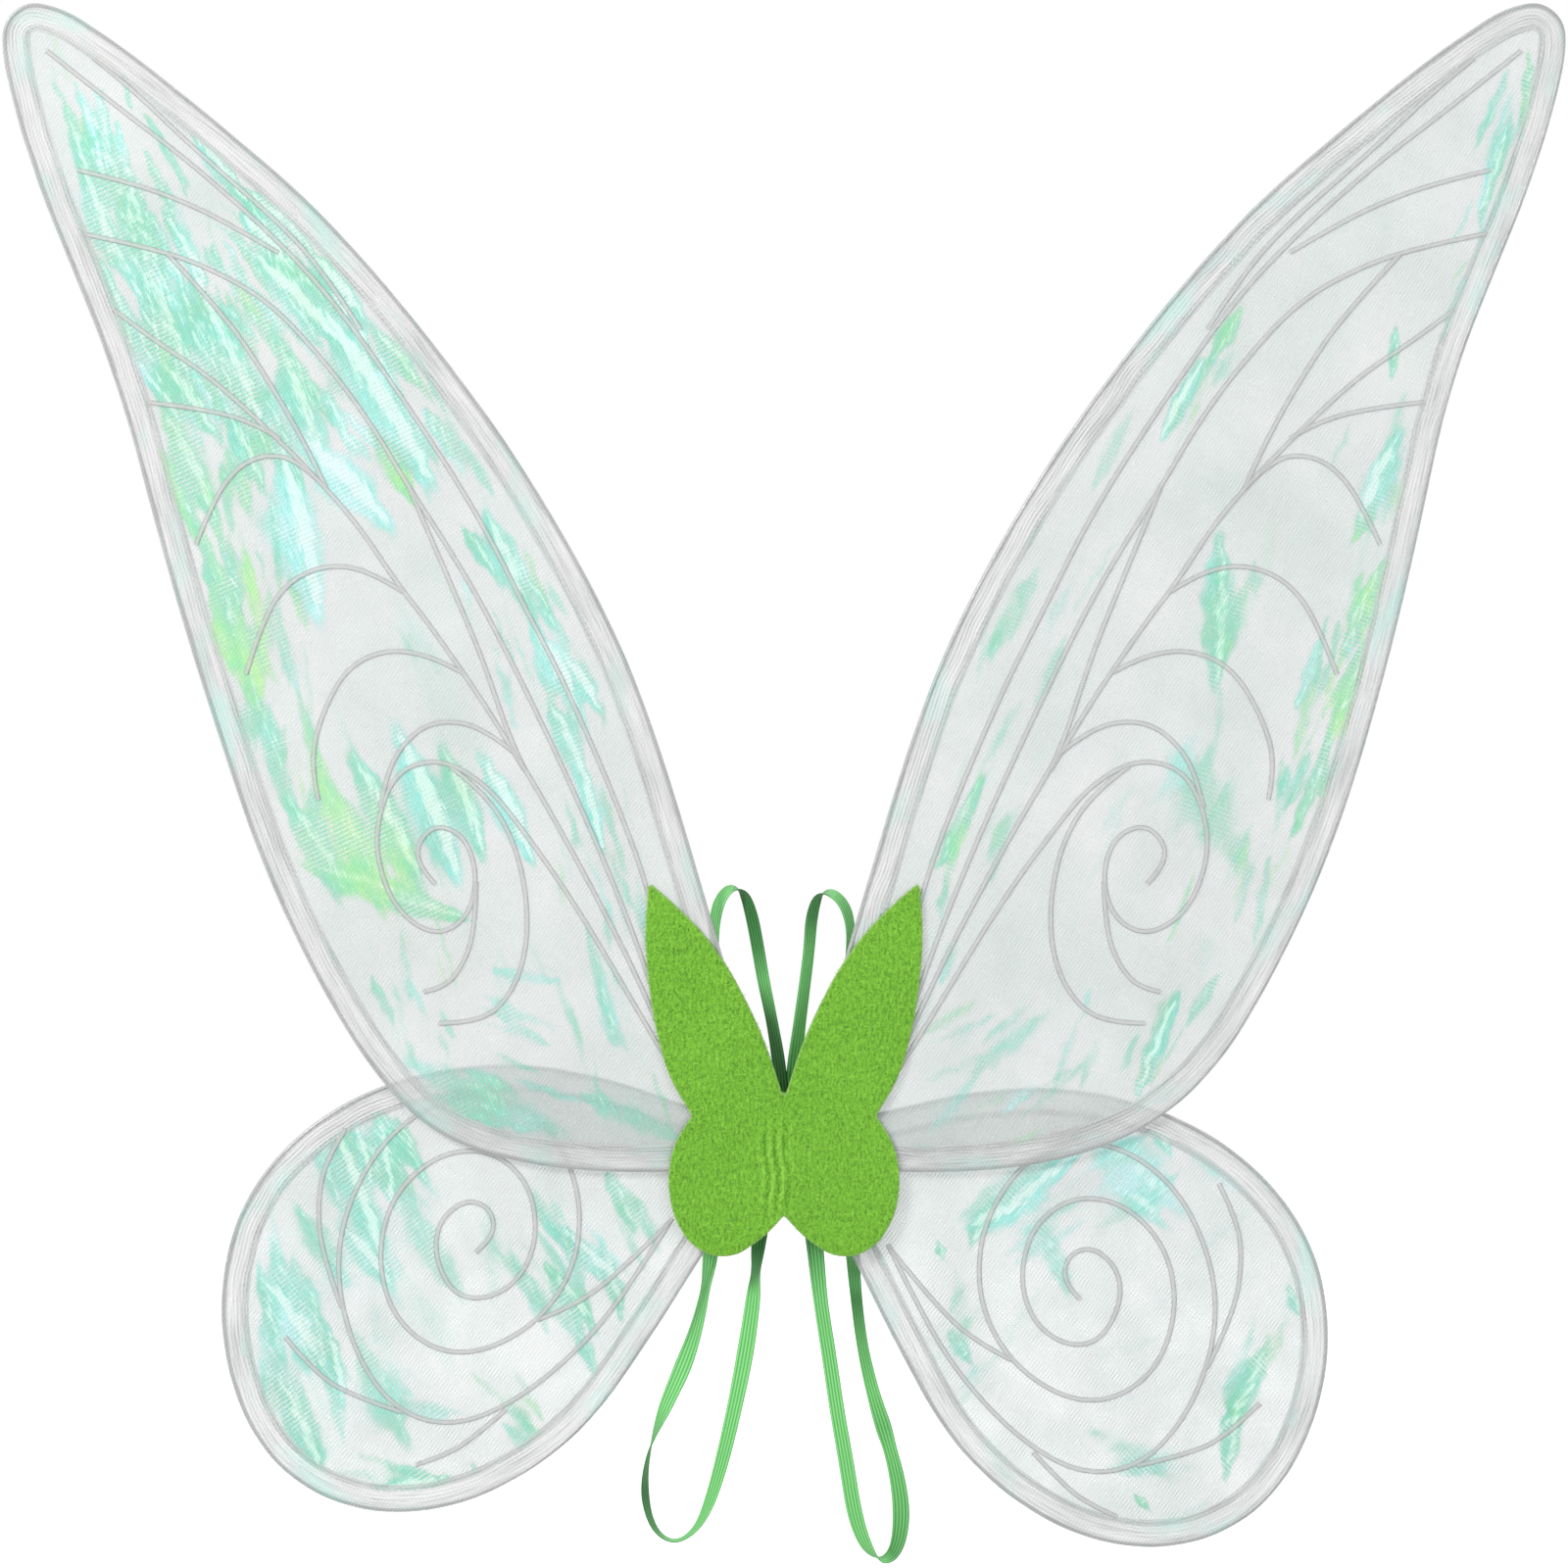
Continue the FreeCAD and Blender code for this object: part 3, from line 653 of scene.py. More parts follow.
front_voile = sheer_cloth("sheer_front_cloth", -0.55, 0.20, 0.48,
                          [(0.0, (0.60, 0.65, 0.63)), (1.0, (0.74, 0.76, 0.75))])
back_voile = sheer_cloth("sheer_back_cloth", -0.72, 0.34, 0.68,
                         [(0.0, (0.64, 0.70, 0.68)), (1.0, (0.76, 0.77, 0.77))])

# %% Iridescent film
COMB_PER_MM = 0.45
film, tree, bsdf, place = new_material("iridescent_film", 0.22, Coat_Weight=0.5, Coat_Roughness=0.08)
bsdf.inputs["Thin Film Thickness"].default_value = 420.0
bsdf.inputs["Thin Film IOR"].default_value = 1.45
# glint, lean and crest carry the film's painted reflection: how strongly a spot flashes, the colour it flashes, and a
# painted highlight along a crease's crest.
glint = add(tree, "ShaderNodeAttribute", attribute_name="glint").outputs["Fac"]
lean = add(tree, "ShaderNodeAttribute", attribute_name="lean").outputs["Fac"]
crest = add(tree, "ShaderNodeAttribute", attribute_name="crest").outputs["Fac"]
folds = varied(tree, place, "UV", 0.22, -0.5, 0.5, 0.16)
fine_folds = varied(tree, place, "UV", 0.75, -0.5, 0.5, 0.18)
clouds = varied(tree, place, "Object", 28.0, -0.5, 0.5)
break_up = math_of(tree, "ADD", math_of(tree, "MULTIPLY", folds, 0.34),
                   math_of(tree, "MULTIPLY", fine_folds, 0.26))
broken = math_of(tree, "MULTIPLY", glint, math_of(tree, "ADD", break_up, 1.0))
broken = math_of(tree, "ADD", broken, math_of(tree, "MULTIPLY", break_up, 0.05))
shining = ranged(tree, broken, 0.0, 1.0, 0.06, 0.78, smooth=True)
# bright and the value below make a painted highlight, nearly white, along the crests of the glinting creases.
bright = math_of(tree, "ADD", crest, math_of(tree, "MULTIPLY", fine_folds, 0.5))
painted_highlight = ranged(tree, math_of(tree, "MULTIPLY", bright, shining), 0.0, 1.0, 0.16, 0.68, smooth=True)
hue = math_of(tree, "ADD", lean, math_of(tree, "MULTIPLY", clouds, 0.25))
hue = math_of(tree, "ADD", hue, math_of(tree, "MULTIPLY", fine_folds, 0.22))
glint_colour = ramp(tree, hue, [(0.0, (0.42, 0.88, 0.26)), (0.18, (0.20, 0.78, 0.32)),
                                (0.38, (0.11, 0.66, 0.42)), (0.6, (0.12, 0.69, 0.53)),
                                (0.82, (0.20, 0.82, 0.73)), (1.0, (0.42, 0.90, 0.92))])
painted_highlight_colour = ramp(tree, hue, [(0.0, (0.80, 1.0, 0.50)), (0.4, (0.62, 1.0, 0.78)), (1.0, (0.72, 1.0, 1.0))])
lit_colour = add(tree, "ShaderNodeMix", {"Factor": painted_highlight}, data_type="RGBA")
tree.links.new(glint_colour, lit_colour.inputs[6])
tree.links.new(painted_highlight_colour, lit_colour.inputs[7])
veil_tone = varied(tree, place, "UV", 0.03, 0.0, 1.0, 0.4)
veil_colour = ramp(tree, veil_tone, [(0.0, (0.44, 0.74, 0.68)), (0.4, (0.64, 0.77, 0.75)),
                                     (0.7, (0.74, 0.73, 0.79)), (1.0, (0.82, 0.81, 0.82))])
film_colour = add(tree, "ShaderNodeMix", {"Factor": ranged(tree, shining, 0.0, 1.0, 0.0, 0.45)},
                  data_type="RGBA")
tree.links.new(veil_colour, film_colour.inputs[6])
tree.links.new(lit_colour.outputs[2], film_colour.inputs[7])
paint(tree, bsdf, film_colour.outputs[2])
pleated = add(tree, "ShaderNodeTexWave", {"Vector": place.outputs["UV"], "Scale": COMB_PER_MM * WAVE_PERIOD,
                                          "Distortion": 1.2, "Detail": 1.0, "Detail Scale": 0.05},
              bands_direction="X").outputs["Fac"]
combed = varied(tree, place, "UV", 0.035, -0.5, 1.6)
comb_depth = math_of(tree, "MINIMUM", math_of(tree, "MAXIMUM", combed, 0.0), 1.0)
comb_shade = math_of(tree, "MULTIPLY", math_of(tree, "MULTIPLY", pleated, comb_depth), 0.62)
cover = math_of(tree, "MULTIPLY", ranged(tree, shining, 0.16, 0.97),
                math_of(tree, "SUBTRACT", 1.0, comb_shade))
covers(tree, bsdf, cover)
# Where it glints, the film also glows in its lit colour: a painted glow of reflected light, as the film is no lamp.
tree.links.new(lit_colour.outputs[2], bsdf.inputs["Emission Color"])
tree.links.new(math_of(tree, "MULTIPLY", shining, 0.12), bsdf.inputs["Emission Strength"])
crinkle = math_of(tree, "ADD", math_of(tree, "MULTIPLY", break_up, 2.0), comb_shade)
bump(tree, bsdf, crinkle, 0.6, 0.0010)
for key in ("Base Color", "Alpha"):
    print("film", key, "is driven by", bsdf.inputs[key].links[0].from_node.name)

# %% Hem, veins, wire, tape and brass
hem_cloth, tree, bsdf, place = new_material("hem_binding", 0.6, Sheen_Weight=0.2)
ridge = add(tree, "ShaderNodeAttribute", attribute_name="ridge").outputs["Fac"]
fine_pleats = varied(tree, place, "UV", 0.9, -0.5, 0.5, 0.035)
long_tone = varied(tree, place, "UV", 0.16, -0.15, 0.15, 0.12)
threads = woven(tree, place, 600.0, -0.55, 0.9)
# The binding's grey follows its pleats, lighter on their tops and darker in their hollows: painted light and shade of
# the gathers, over the cloth's own streaky tone.
gathers = math_of(tree, "ADD", math_of(tree, "MULTIPLY", ridge, 0.13),
                  math_of(tree, "MULTIPLY", fine_pleats, 0.50))
gathers = math_of(tree, "ADD", math_of(tree, "ADD", gathers, long_tone), 0.5)
grey = ramp(tree, gathers, [(0.0, (0.42, 0.43, 0.43)), (0.45, (0.70, 0.70, 0.70)), (1.0, (0.93, 0.92, 0.91))])
# Mint spots on the binding are the film's painted reflection showing through it.
film_glint_spots = varied(tree, place, "UV", 0.05, -0.9, 0.75, 0.35)
film_glint = math_of(tree, "MAXIMUM", film_glint_spots, 0.0)
with_film_glint = add(tree, "ShaderNodeMix", {"Factor": film_glint}, data_type="RGBA")
tree.links.new(grey, with_film_glint.inputs[6])
with_film_glint.inputs[7].default_value = (0.50, 0.82, 0.74, 1)
paint(tree, bsdf, with_film_glint.outputs[2])
hem_cover = ranged(tree, gathers, 0.66, 0.44)
covers(tree, bsdf, math_of(tree, "MULTIPLY", hem_cover, ranged(tree, threads["Threads"], 0.84, 1.08)))
bump(tree, bsdf, gathers, 0.6, 0.0008)

vein_cloth, tree, bsdf, place = new_material("vein_cord", 0.6, Sheen_Weight=0.2)
# The cord's colour runs from dark at its sides to light along its top: painted shade and light of a round cord, with
# its threads' own fray.
rise = add(tree, "ShaderNodeAttribute", attribute_name="rise").outputs["Fac"]
fray = varied(tree, place, "Object", 420.0, -0.12, 0.12)
crest = math_of(tree, "ADD", rise, fray)
paint(tree, bsdf, ramp(tree, crest, [(0.0, (0.26, 0.26, 0.265)), (0.4, (0.44, 0.44, 0.445)),
                                     (0.7, (0.66, 0.66, 0.66)), (1.0, (0.80, 0.80, 0.79))]))
tree.links.new(ranged(tree, crest, 0.85, 0.52), bsdf.inputs["Alpha"])
bump(tree, bsdf, fray, 0.4, 0.0003)

steel = two_toned("spring_steel", 0.35, 300.0, (0.30, 0.30, 0.31), (0.48, 0.48, 0.49), Metallic=1.0)

tape, tree, bsdf, place = new_material("cotton_tape", 0.85, Sheen_Weight=0.3)
threads = woven(tree, place, 1400.0, 0.0, 0.3)
paint(tree, bsdf, ramp(tree, threads["Threads"], [(0.0, (0.10, 0.26, 0.05)), (1.0, (0.20, 0.50, 0.08))]))
bump(tree, bsdf, threads["Height"], 0.6, 0.0003)

brass, tree, bsdf, place = new_material("rivet_brass", 0.3, Metallic=1.0)
tarnish = varied(tree, place, "Object", 500.0, 0.0, 1.0)
paint(tree, bsdf, ramp(tree, tarnish, [(0.0, (0.45, 0.30, 0.11)), (1.0, (0.78, 0.60, 0.28))]))
tree.links.new(ranged(tree, tarnish, 0.45, 0.25), bsdf.inputs["Roughness"])

painted_nodes = {"centre_tape": tape}
for side in ("left", "right"):
    painted_nodes.update({f"{side}_{layer}_wire_frame": steel for layer in ("upper", "lower")})
    painted_nodes.update({f"{side}_{piece}": brass for piece in ("root_rivet", "root_washer")})
for node, material in painted_nodes.items():
    frame["nodes"][node].data.materials.clear()
    frame["nodes"][node].data.materials.append(material)
print("painted", len(painted_nodes), "of the frame's own pieces")

# %% Felt, elastic and thread
felt_wool, tree, bsdf, place = new_material("lime_felt", 0.95, Sheen_Weight=0.12, Sheen_Roughness=0.6)
matting = varied(tree, place, "Object", 900.0, 0.0, 1.0)
strands = varied(tree, place, "Object", 330.0, 0.0, 1.0, 2.2)
clouding = varied(tree, place, "Object", 24.0, -0.06, 0.06)
wool = math_of(tree, "ADD", math_of(tree, "MULTIPLY", matting, 0.45),
               math_of(tree, "MULTIPLY", strands, 0.55))
# The waist gathers are painted darker in their hollows and lighter on their tops: painted shade and light of the
# pleats.
pleat_shade = add(tree, "ShaderNodeAttribute", attribute_name="pleat_shade").outputs["Fac"]
cut_edge = add(tree, "ShaderNodeAttribute", attribute_name="cut_edge").outputs["Fac"]
tone = math_of(tree, "ADD", math_of(tree, "ADD", wool, clouding), pleat_shade)
wool_colour = ramp(tree, tone, [(0.0, (0.075, 0.27, 0.008)), (0.5, (0.215, 0.58, 0.030)),
                                (1.0, (0.35, 0.78, 0.075))])
edged = add(tree, "ShaderNodeMix", {"Factor": cut_edge}, data_type="RGBA")
tree.links.new(wool_colour, edged.inputs[6])
edged.inputs[7].default_value = (0.46, 0.72, 0.24, 1)
paint(tree, bsdf, edged.outputs[2])
bump(tree, bsdf, wool, 1.0, 0.0011)

fibre_wool = two_toned("lime_fibres", 0.8, 900.0, (0.10, 0.34, 0.012), (0.33, 0.72, 0.08), Sheen_Weight=0.2)

elastic, tree, bsdf, place = new_material("green_elastic", 0.5, Sheen_Weight=0.08)
rib = add(tree, "ShaderNodeAttribute", attribute_name="rib").outputs["Fac"]
# The fold attribute darkens the elastic where it is folded in on itself: painted shade inside the fold, mixed between
# a lit and a shaded copy of the green.
shadow = add(tree, "ShaderNodeAttribute", attribute_name="painted_fold_shade").outputs["Fac"]
knit = varied(tree, place, "UV", 2.0, -0.15, 0.15, 3.0)
# Across the width the ribs' hollows are painted darker and their tops lighter: painted shade and light of the ribs,
# with the knit's own uneven tone.
rib_tone = math_of(tree, "ADD", rib, knit)
lit_green = ramp(tree, rib_tone, [(0.0, (0.060, 0.36, 0.070)), (0.45, (0.18, 0.64, 0.18)),
                                    (1.0, (0.33, 0.83, 0.30))])
shaded_green = ramp(tree, rib_tone, [(0.0, (0.006, 0.07, 0.010)), (0.5, (0.018, 0.17, 0.026)),
                                   (1.0, (0.05, 0.30, 0.06))])
fold_shaded_colour = add(tree, "ShaderNodeMix", {"Factor": shadow, "A": lit_green, "B": shaded_green},
                data_type="RGBA")
paint(tree, bsdf, fold_shaded_colour.outputs["Result"])
bump(tree, bsdf, rib_tone, 0.4, 0.0003)

green_thread = two_toned("green_thread", 0.45, 1500.0, (0.03, 0.22, 0.03), (0.10, 0.42, 0.08))
pale_thread = two_toned("pale_thread", 0.45, 1500.0, (0.42, 0.42, 0.42), (0.62, 0.62, 0.61))
print("materials", len(bpy.data.materials))

# %% [markdown]
# ## Geometry Nodes: stitches, cords and wool fibres
# Three things repeat or follow a line: the stitches that hold hems and straps, the raised cord of each vein
# and the loose fibres of the felt. Each is a small node tree with named inputs. The tree's result is turned
# into a plain mesh, so that nothing is left to evaluate when the wings are posed.


# %% Growing a mesh from lines or faces
def growing_tree(name, inputs):
    """A Geometry Nodes tree with named inputs, given as {name: (socket type, default)}."""
    tree = bpy.data.node_groups.new(name, "GeometryNodeTree")
    tree.interface.new_socket("Geometry", in_out="INPUT", socket_type="NodeSocketGeometry")
    for key, (kind, value) in inputs.items():
        socket = tree.interface.new_socket(key, in_out="INPUT", socket_type=kind)
        if value is not None:
            socket.default_value = value
    tree.interface.new_socket("Geometry", in_out="OUTPUT", socket_type="NodeSocketGeometry")
    return tree, tree.nodes.new("NodeGroupInput").outputs, tree.nodes.new("NodeGroupOutput")


def finished(tree, geometry, material, group_output):
    """Realize, smooth, give the material and send out."""
    realized = add(tree, "GeometryNodeRealizeInstances", {"Geometry": geometry})
    smooth = add(tree, "GeometryNodeSetShadeSmooth", {"Geometry": realized.outputs[0]})
    painted = add(tree, "GeometryNodeSetMaterial", {"Geometry": smooth.outputs[0], "Material": material})
    tree.links.new(painted.outputs[0], group_output.inputs[0])


def grown(name, source, tree, values):
    """The plain mesh that a tree grows from a source object, which is then removed."""
    modifier = source.modifiers.new("growing", "NODES")
    modifier.node_group = tree
    sockets = {item.name: item.identifier for item in tree.interface.items_tree if item.in_out == "INPUT"}
    for key, value in values.items():
        modifier[sockets[key]] = value
    evaluated = source.evaluated_get(bpy.context.evaluated_depsgraph_get())
    mesh = bpy.data.meshes.new_from_object(evaluated)
    bpy.data.objects.remove(source)
    mesh.name = name
    return linked(bpy.data.objects.new(name, mesh))


def lines_object(name, lines, closed=False):
    """A mesh of edges only: one chain of points for each line."""
    points = []
    edges = []
    for line in lines:
        first = len(points)
        points += [tuple(point) for point in line]
        edges += [(index, index + 1) for index in range(first, len(points) - 1)]
        if closed:
            edges.append((len(points) - 1, first))
    mesh = bpy.data.meshes.new(name)
    mesh.from_pydata(points, edges, [])
    return linked(bpy.data.objects.new(name, mesh))


# %% The stitch tree
stitch_row, given, out = growing_tree("stitch_row", {
    "Pitch": ("NodeSocketFloat", 0.003), "Stitch length": ("NodeSocketFloat", 0.0022),
    "Thread": ("NodeSocketFloat", 0.00035), "Material": ("NodeSocketMaterial", None)})
seam = add(stitch_row, "GeometryNodeMeshToCurve", {"Mesh": given["Geometry"]})
steps = add(stitch_row, "GeometryNodeResampleCurve", {"Curve": seam.outputs[0], "Length": given["Pitch"]},
            mode="LENGTH")
stitch = add(stitch_row, "GeometryNodeMeshUVSphere",
             {"Segments": 6, "Rings": 4, "Radius": 0.5})
stitch_size = add(stitch_row, "ShaderNodeCombineXYZ",
                  {"X": given["Thread"], "Y": given["Thread"], "Z": given["Stitch length"]})
run = add(stitch_row, "FunctionNodeAlignRotationToVector",
          {"Vector": add(stitch_row, "GeometryNodeInputTangent").outputs[0]}, axis="Z")
row = add(stitch_row, "GeometryNodeInstanceOnPoints",
          {"Points": steps.outputs[0], "Instance": stitch.outputs["Mesh"], "Rotation": run.outputs[0],
           "Scale": stitch_size.outputs[0]})
finished(stitch_row, row.outputs[0], given["Material"], out)

# %% The vein tree
vein_tree, given, out = growing_tree("vein_cording", {
    "Width": ("NodeSocketFloat", 0.0026), "Height": ("NodeSocketFloat", 0.0005),
    "Material": ("NodeSocketMaterial", None)})
route = add(vein_tree, "GeometryNodeMeshToCurve", {"Mesh": given["Geometry"]})
half_width = math_of(vein_tree, "MULTIPLY", given["Width"], 0.5)
round_profile = add(vein_tree, "GeometryNodeCurvePrimitiveCircle", {"Resolution": 12, "Radius": half_width})
cord = add(vein_tree, "GeometryNodeCurveToMesh",
           {"Curve": route.outputs[0], "Profile Curve": round_profile.outputs[0], "Fill Caps": True})
place = add(vein_tree, "ShaderNodeSeparateXYZ", {0: add(vein_tree, "GeometryNodeInputPosition").outputs[0]})
above = math_of(vein_tree, "ABSOLUTE", place.outputs["Y"])
share = math_of(vein_tree, "DIVIDE", above, half_width)
# rise, 0 at the cord's sides and 1 on its top, is what the cord's material turns into painted shade and light.
marked = add(vein_tree, "GeometryNodeStoreNamedAttribute",
             {"Geometry": cord.outputs[0], "Name": "rise", "Value": share}, data_type="FLOAT", domain="POINT")
flatness = math_of(vein_tree, "DIVIDE", given["Height"], half_width)
pressed = math_of(vein_tree, "SUBTRACT", flatness, 1.0)
sinking = math_of(vein_tree, "MULTIPLY", place.outputs["Y"], pressed)
downward = add(vein_tree, "ShaderNodeCombineXYZ", {"Y": sinking})
flattened = add(vein_tree, "GeometryNodeSetPosition",
                {"Geometry": marked.outputs[0], "Offset": downward.outputs[0]})
finished(vein_tree, flattened.outputs[0], given["Material"], out)

# %% The fibre tree
fibre_tree, given, out = growing_tree("loose_fibres", {
    "Density": ("NodeSocketFloat", 900000.0), "Length": ("NodeSocketFloat", 0.0016),
    "Thickness": ("NodeSocketFloat", 0.00006), "Seed": ("NodeSocketInt", 5),
    "Material": ("NodeSocketMaterial", None)})
roots = add(fibre_tree, "GeometryNodeDistributePointsOnFaces",
            {"Mesh": given["Geometry"], "Density": given["Density"], "Seed": given["Seed"]})
hair = add(fibre_tree, "GeometryNodeCurveQuadraticBezier",
           {"Resolution": 2, "Start": (0, 0, 0), "Middle": (0.45, 0.1, 0.35), "End": (1.0, -0.1, 0.16)})
hair_width = math_of(fibre_tree, "DIVIDE", given["Thickness"], given["Length"])
hair_profile = add(fibre_tree, "GeometryNodeCurvePrimitiveCircle", {"Resolution": 3, "Radius": hair_width})
hair_mesh = add(fibre_tree, "GeometryNodeCurveToMesh",
                {"Curve": hair.outputs[0], "Profile Curve": hair_profile.outputs[0]})
any_way = add(fibre_tree, "FunctionNodeRandomValue", {"Max": (0.5, 0.5, 6.283), "Seed": 11},
              data_type="FLOAT_VECTOR")
turned_root = add(fibre_tree, "FunctionNodeRotateRotation",
                  {"Rotation": roots.outputs["Rotation"], "Rotate By": any_way.outputs["Value"]},
                  rotation_space="LOCAL")
long_or_short = add(fibre_tree, "FunctionNodeRandomValue", {2: 0.5, 3: 1.5, "Seed": 12}, data_type="FLOAT")
hair_scale = math_of(fibre_tree, "MULTIPLY", long_or_short.outputs[1], given["Length"])
fuzz = add(fibre_tree, "GeometryNodeInstanceOnPoints",
           {"Points": roots.outputs["Points"], "Instance": hair_mesh.outputs[0],
            "Rotation": turned_root.outputs[0], "Scale": hair_scale})
finished(fibre_tree, fuzz.outputs[0], given["Material"], out)
print("node trees", [group.name for group in bpy.data.node_groups])

# %% [markdown]
# ## Elastic shoulder loops
# Each loop is one length of ribbed elastic, 10 mm wide, sewn flat to the back of the felt at both ends. It
# rises from the upper seam, folds over, runs down behind the felt, turns at the bottom and comes back to the
# lower seam. The route's points are the frame's own. The ribbon is not a tube, so it is built as a strip:
# at each place along the route a chosen width direction says which way the flat of the elastic leans.

# %% Routes of the two loops
LEFT_LOOP = [
    (-33, 68), (-34, 84), (-35.5, 101), (-36, 117), (-33.5, 130), (-27.5, 137.5), (-20.5, 135), (-16.5, 123),
    (-13.5, 107), (-10.5, 89), (-6, 68), (-2, 44), (-1.5, 20), (-5.5, -3), (-10.5, -26), (-13.5, -48),
    (-15.5, -72), (-19.5, -100), (-25, -128), (-31.5, -156), (-38, -178), (-45, -192), (-56, -199),
    (-67, -192), (-72, -173), (-69.5, -151), (-61, -129), (-51.5, -108), (-44.5, -88), (-40, -68),
    (-37.5, -50), (-36.5, -34), (-36, -20),
]
RIGHT_LOOP = [
    (33, 68), (34, 84), (33.5, 101), (34.5, 116), (31.5, 128), (24.5, 135), (17.5, 133.5), (14, 122),
    (13, 106), (10.5, 86), (7.5, 64), (5, 40), (6, 18), (9.5, -4), (13.5, -26), (16, -48), (18.5, -74),
    (23, -102), (27, -130), (32, -158), (36, -184), (42, -201), (50.5, -208.5), (58, -202), (60.5, -184),
    (58, -164), (52.5, -144), (45.5, -122), (40, -98), (37, -74), (35, -50), (34.5, -34), (36, -20),
]
MM = 0.001
SEWN_DEPTH = 0.6 * MM
LOOSE_DEPTH = 6.0 * MM
RISE_POINTS = 2


def loop_depth(index, count):
    """The loop lies on the felt at its seams and stands clear of it in between."""
    from_end = min(index, count - 1 - index)
    return SEWN_DEPTH + (LOOSE_DEPTH - SEWN_DEPTH) * min(1.0, from_end / RISE_POINTS)


def route_line(name, points):
    """The smooth line that a route follows, read from a spline with no thickness."""
    data = bpy.data.curves.new(name, "CURVE")
    data.dimensions = "3D"
    data.resolution_u = 10
    spline = data.splines.new("NURBS")
    spline.points.add(len(points) - 1)
    for control, point in zip(spline.points, points):
        control.co = (*point, 1.0)
    spline.order_u = 3
    spline.use_endpoint_u = True
    holder = linked(bpy.data.objects.new(name, data))
    mesh = bpy.data.meshes.new_from_object(holder.evaluated_get(bpy.context.evaluated_depsgraph_get()))
    line = np.array([vertex.co[:] for vertex in mesh.vertices])
    bpy.data.objects.remove(holder)
    bpy.data.meshes.remove(mesh)
    return line


def respaced(line, step):
    along = np.concatenate([[0], np.cumsum(np.linalg.norm(np.diff(line, axis=0), axis=1))])
    places = np.linspace(0, along[-1], max(2, round(along[-1] / step) + 1))
    return np.stack([np.interp(places, along, line[:, axis]) for axis in range(line.shape[1])], axis=1)


# %% How the flat of each loop leans
# Each row is a place on the route, as a point's number, the width direction there, and how far that side of
# the elastic is folded in on itself, from 0, in the open, to 1, deep inside the fold, where it is painted in shade.
LEFT_LEAN = [
    (0, (-1, 0, 0), 0.2), (1, (-0.9, 0.4, 0), 0.3), (2, (-0.40, 0.92, 0), 0.2), (3, (-0.56, 0.83, 0), 0.0),
    (4, (-0.62, 0.78, 0.1), 0.0), (5, (-0.30, 0.85, 0.40), 0.0), (5.7, (-0.45, 0.80, 0.1), 1.0),
    (7, (-0.66, 0.75, 0), 1.0), (8, (-0.66, 0.75, 0), 0.85), (9, (-0.64, 0.77, 0), 0.25),
    (10, (-0.60, 0.80, 0), 0.95), (11, (-0.70, 0.70, 0), 1.0), (13, (-1, 0, 0), 1.0),
    (15, (-0.72, 0.69, 0), 0.95), (15.5, (-0.42, 0.91, 0), 0.5), (16, (-0.74, 0.67, 0), 0.0),
    (17, (-0.86, 0.51, 0), 0.0), (18, (-0.78, 0.63, 0), 0.0), (19, (-0.72, 0.70, 0), 0.05),
    (20, (-0.58, 0.81, 0), 0.0), (21, (-0.30, 0.95, 0), 0.0), (22, (0.0, 1.0, 0.05), 0.1),
    (23, (0.22, 0.97, 0), 0.6), (24, (0.38, 0.92, 0), 1.0), (25, (0.12, 0.99, 0), 0.6),
    (26, (-0.70, 0.71, 0), 0.0), (27, (-0.90, 0.44, 0), 0.0), (28, (-0.66, 0.75, 0), 0.1),
    (29, (-0.46, 0.89, 0), 0.3), (30, (-0.82, 0.57, 0), 0.05), (31, (-0.80, 0.60, 0), 0.5),
    (32, (-1, 0, 0), 0.6),
]
RIGHT_LEAN = [
    (0, (1, 0, 0), 0.3), (1, (0.9, 0.4, 0), 0.3), (2, (0.40, 0.92, 0), 0.2), (3, (0.46, 0.89, 0), 0.0),
    (4, (0.56, 0.83, 0.1), 0.0), (5, (0.30, 0.85, 0.40), 0.0), (5.8, (0.45, 0.80, 0.1), 0.9),
    (7, (0.62, 0.78, 0), 0.8), (8, (0.58, 0.81, 0), 0.15), (9, (0.60, 0.80, 0), 0.0),
    (10, (0.66, 0.75, 0), 0.1),
    (12, (0.97, 0.2, 0), 0.8), (14, (0.97, -0.2, 0), 0.9), (15, (0.86, -0.51, 0), 0.6),
    (16, (0.74, -0.67, 0), 0.1),
    (18, (0.76, -0.65, 0), 0.0), (20, (0.80, -0.60, 0), 0.05), (21, (0.70, -0.70, -0.1), 0.0),
    (22, (0.45, -0.88, -0.30), 0.0), (22.7, (0.60, -0.80, -0.1), 0.7), (24, (0.86, -0.50, 0), 0.35),
    (25.7, (0.70, -0.70, 0), 0.1), (26.2, (0.86, -0.51, 0), 0.3), (27, (0.70, -0.71, 0), 0.05),
    (28, (0.58, -0.81, 0), 0.4), (29, (0.58, -0.81, 0), 0.95), (30, (0.70, -0.70, 0), 0.3),
    (32, (1, 0, 0), 0.6),
]
STRAP_WIDTH = 10.0 * MM
STRAP_HALF_THICK = 0.46 * MM
RIBS = 5
RIB_RISE = 0.12 * MM
RIBBON_STEP = 1.5 * MM
ACROSS = 21


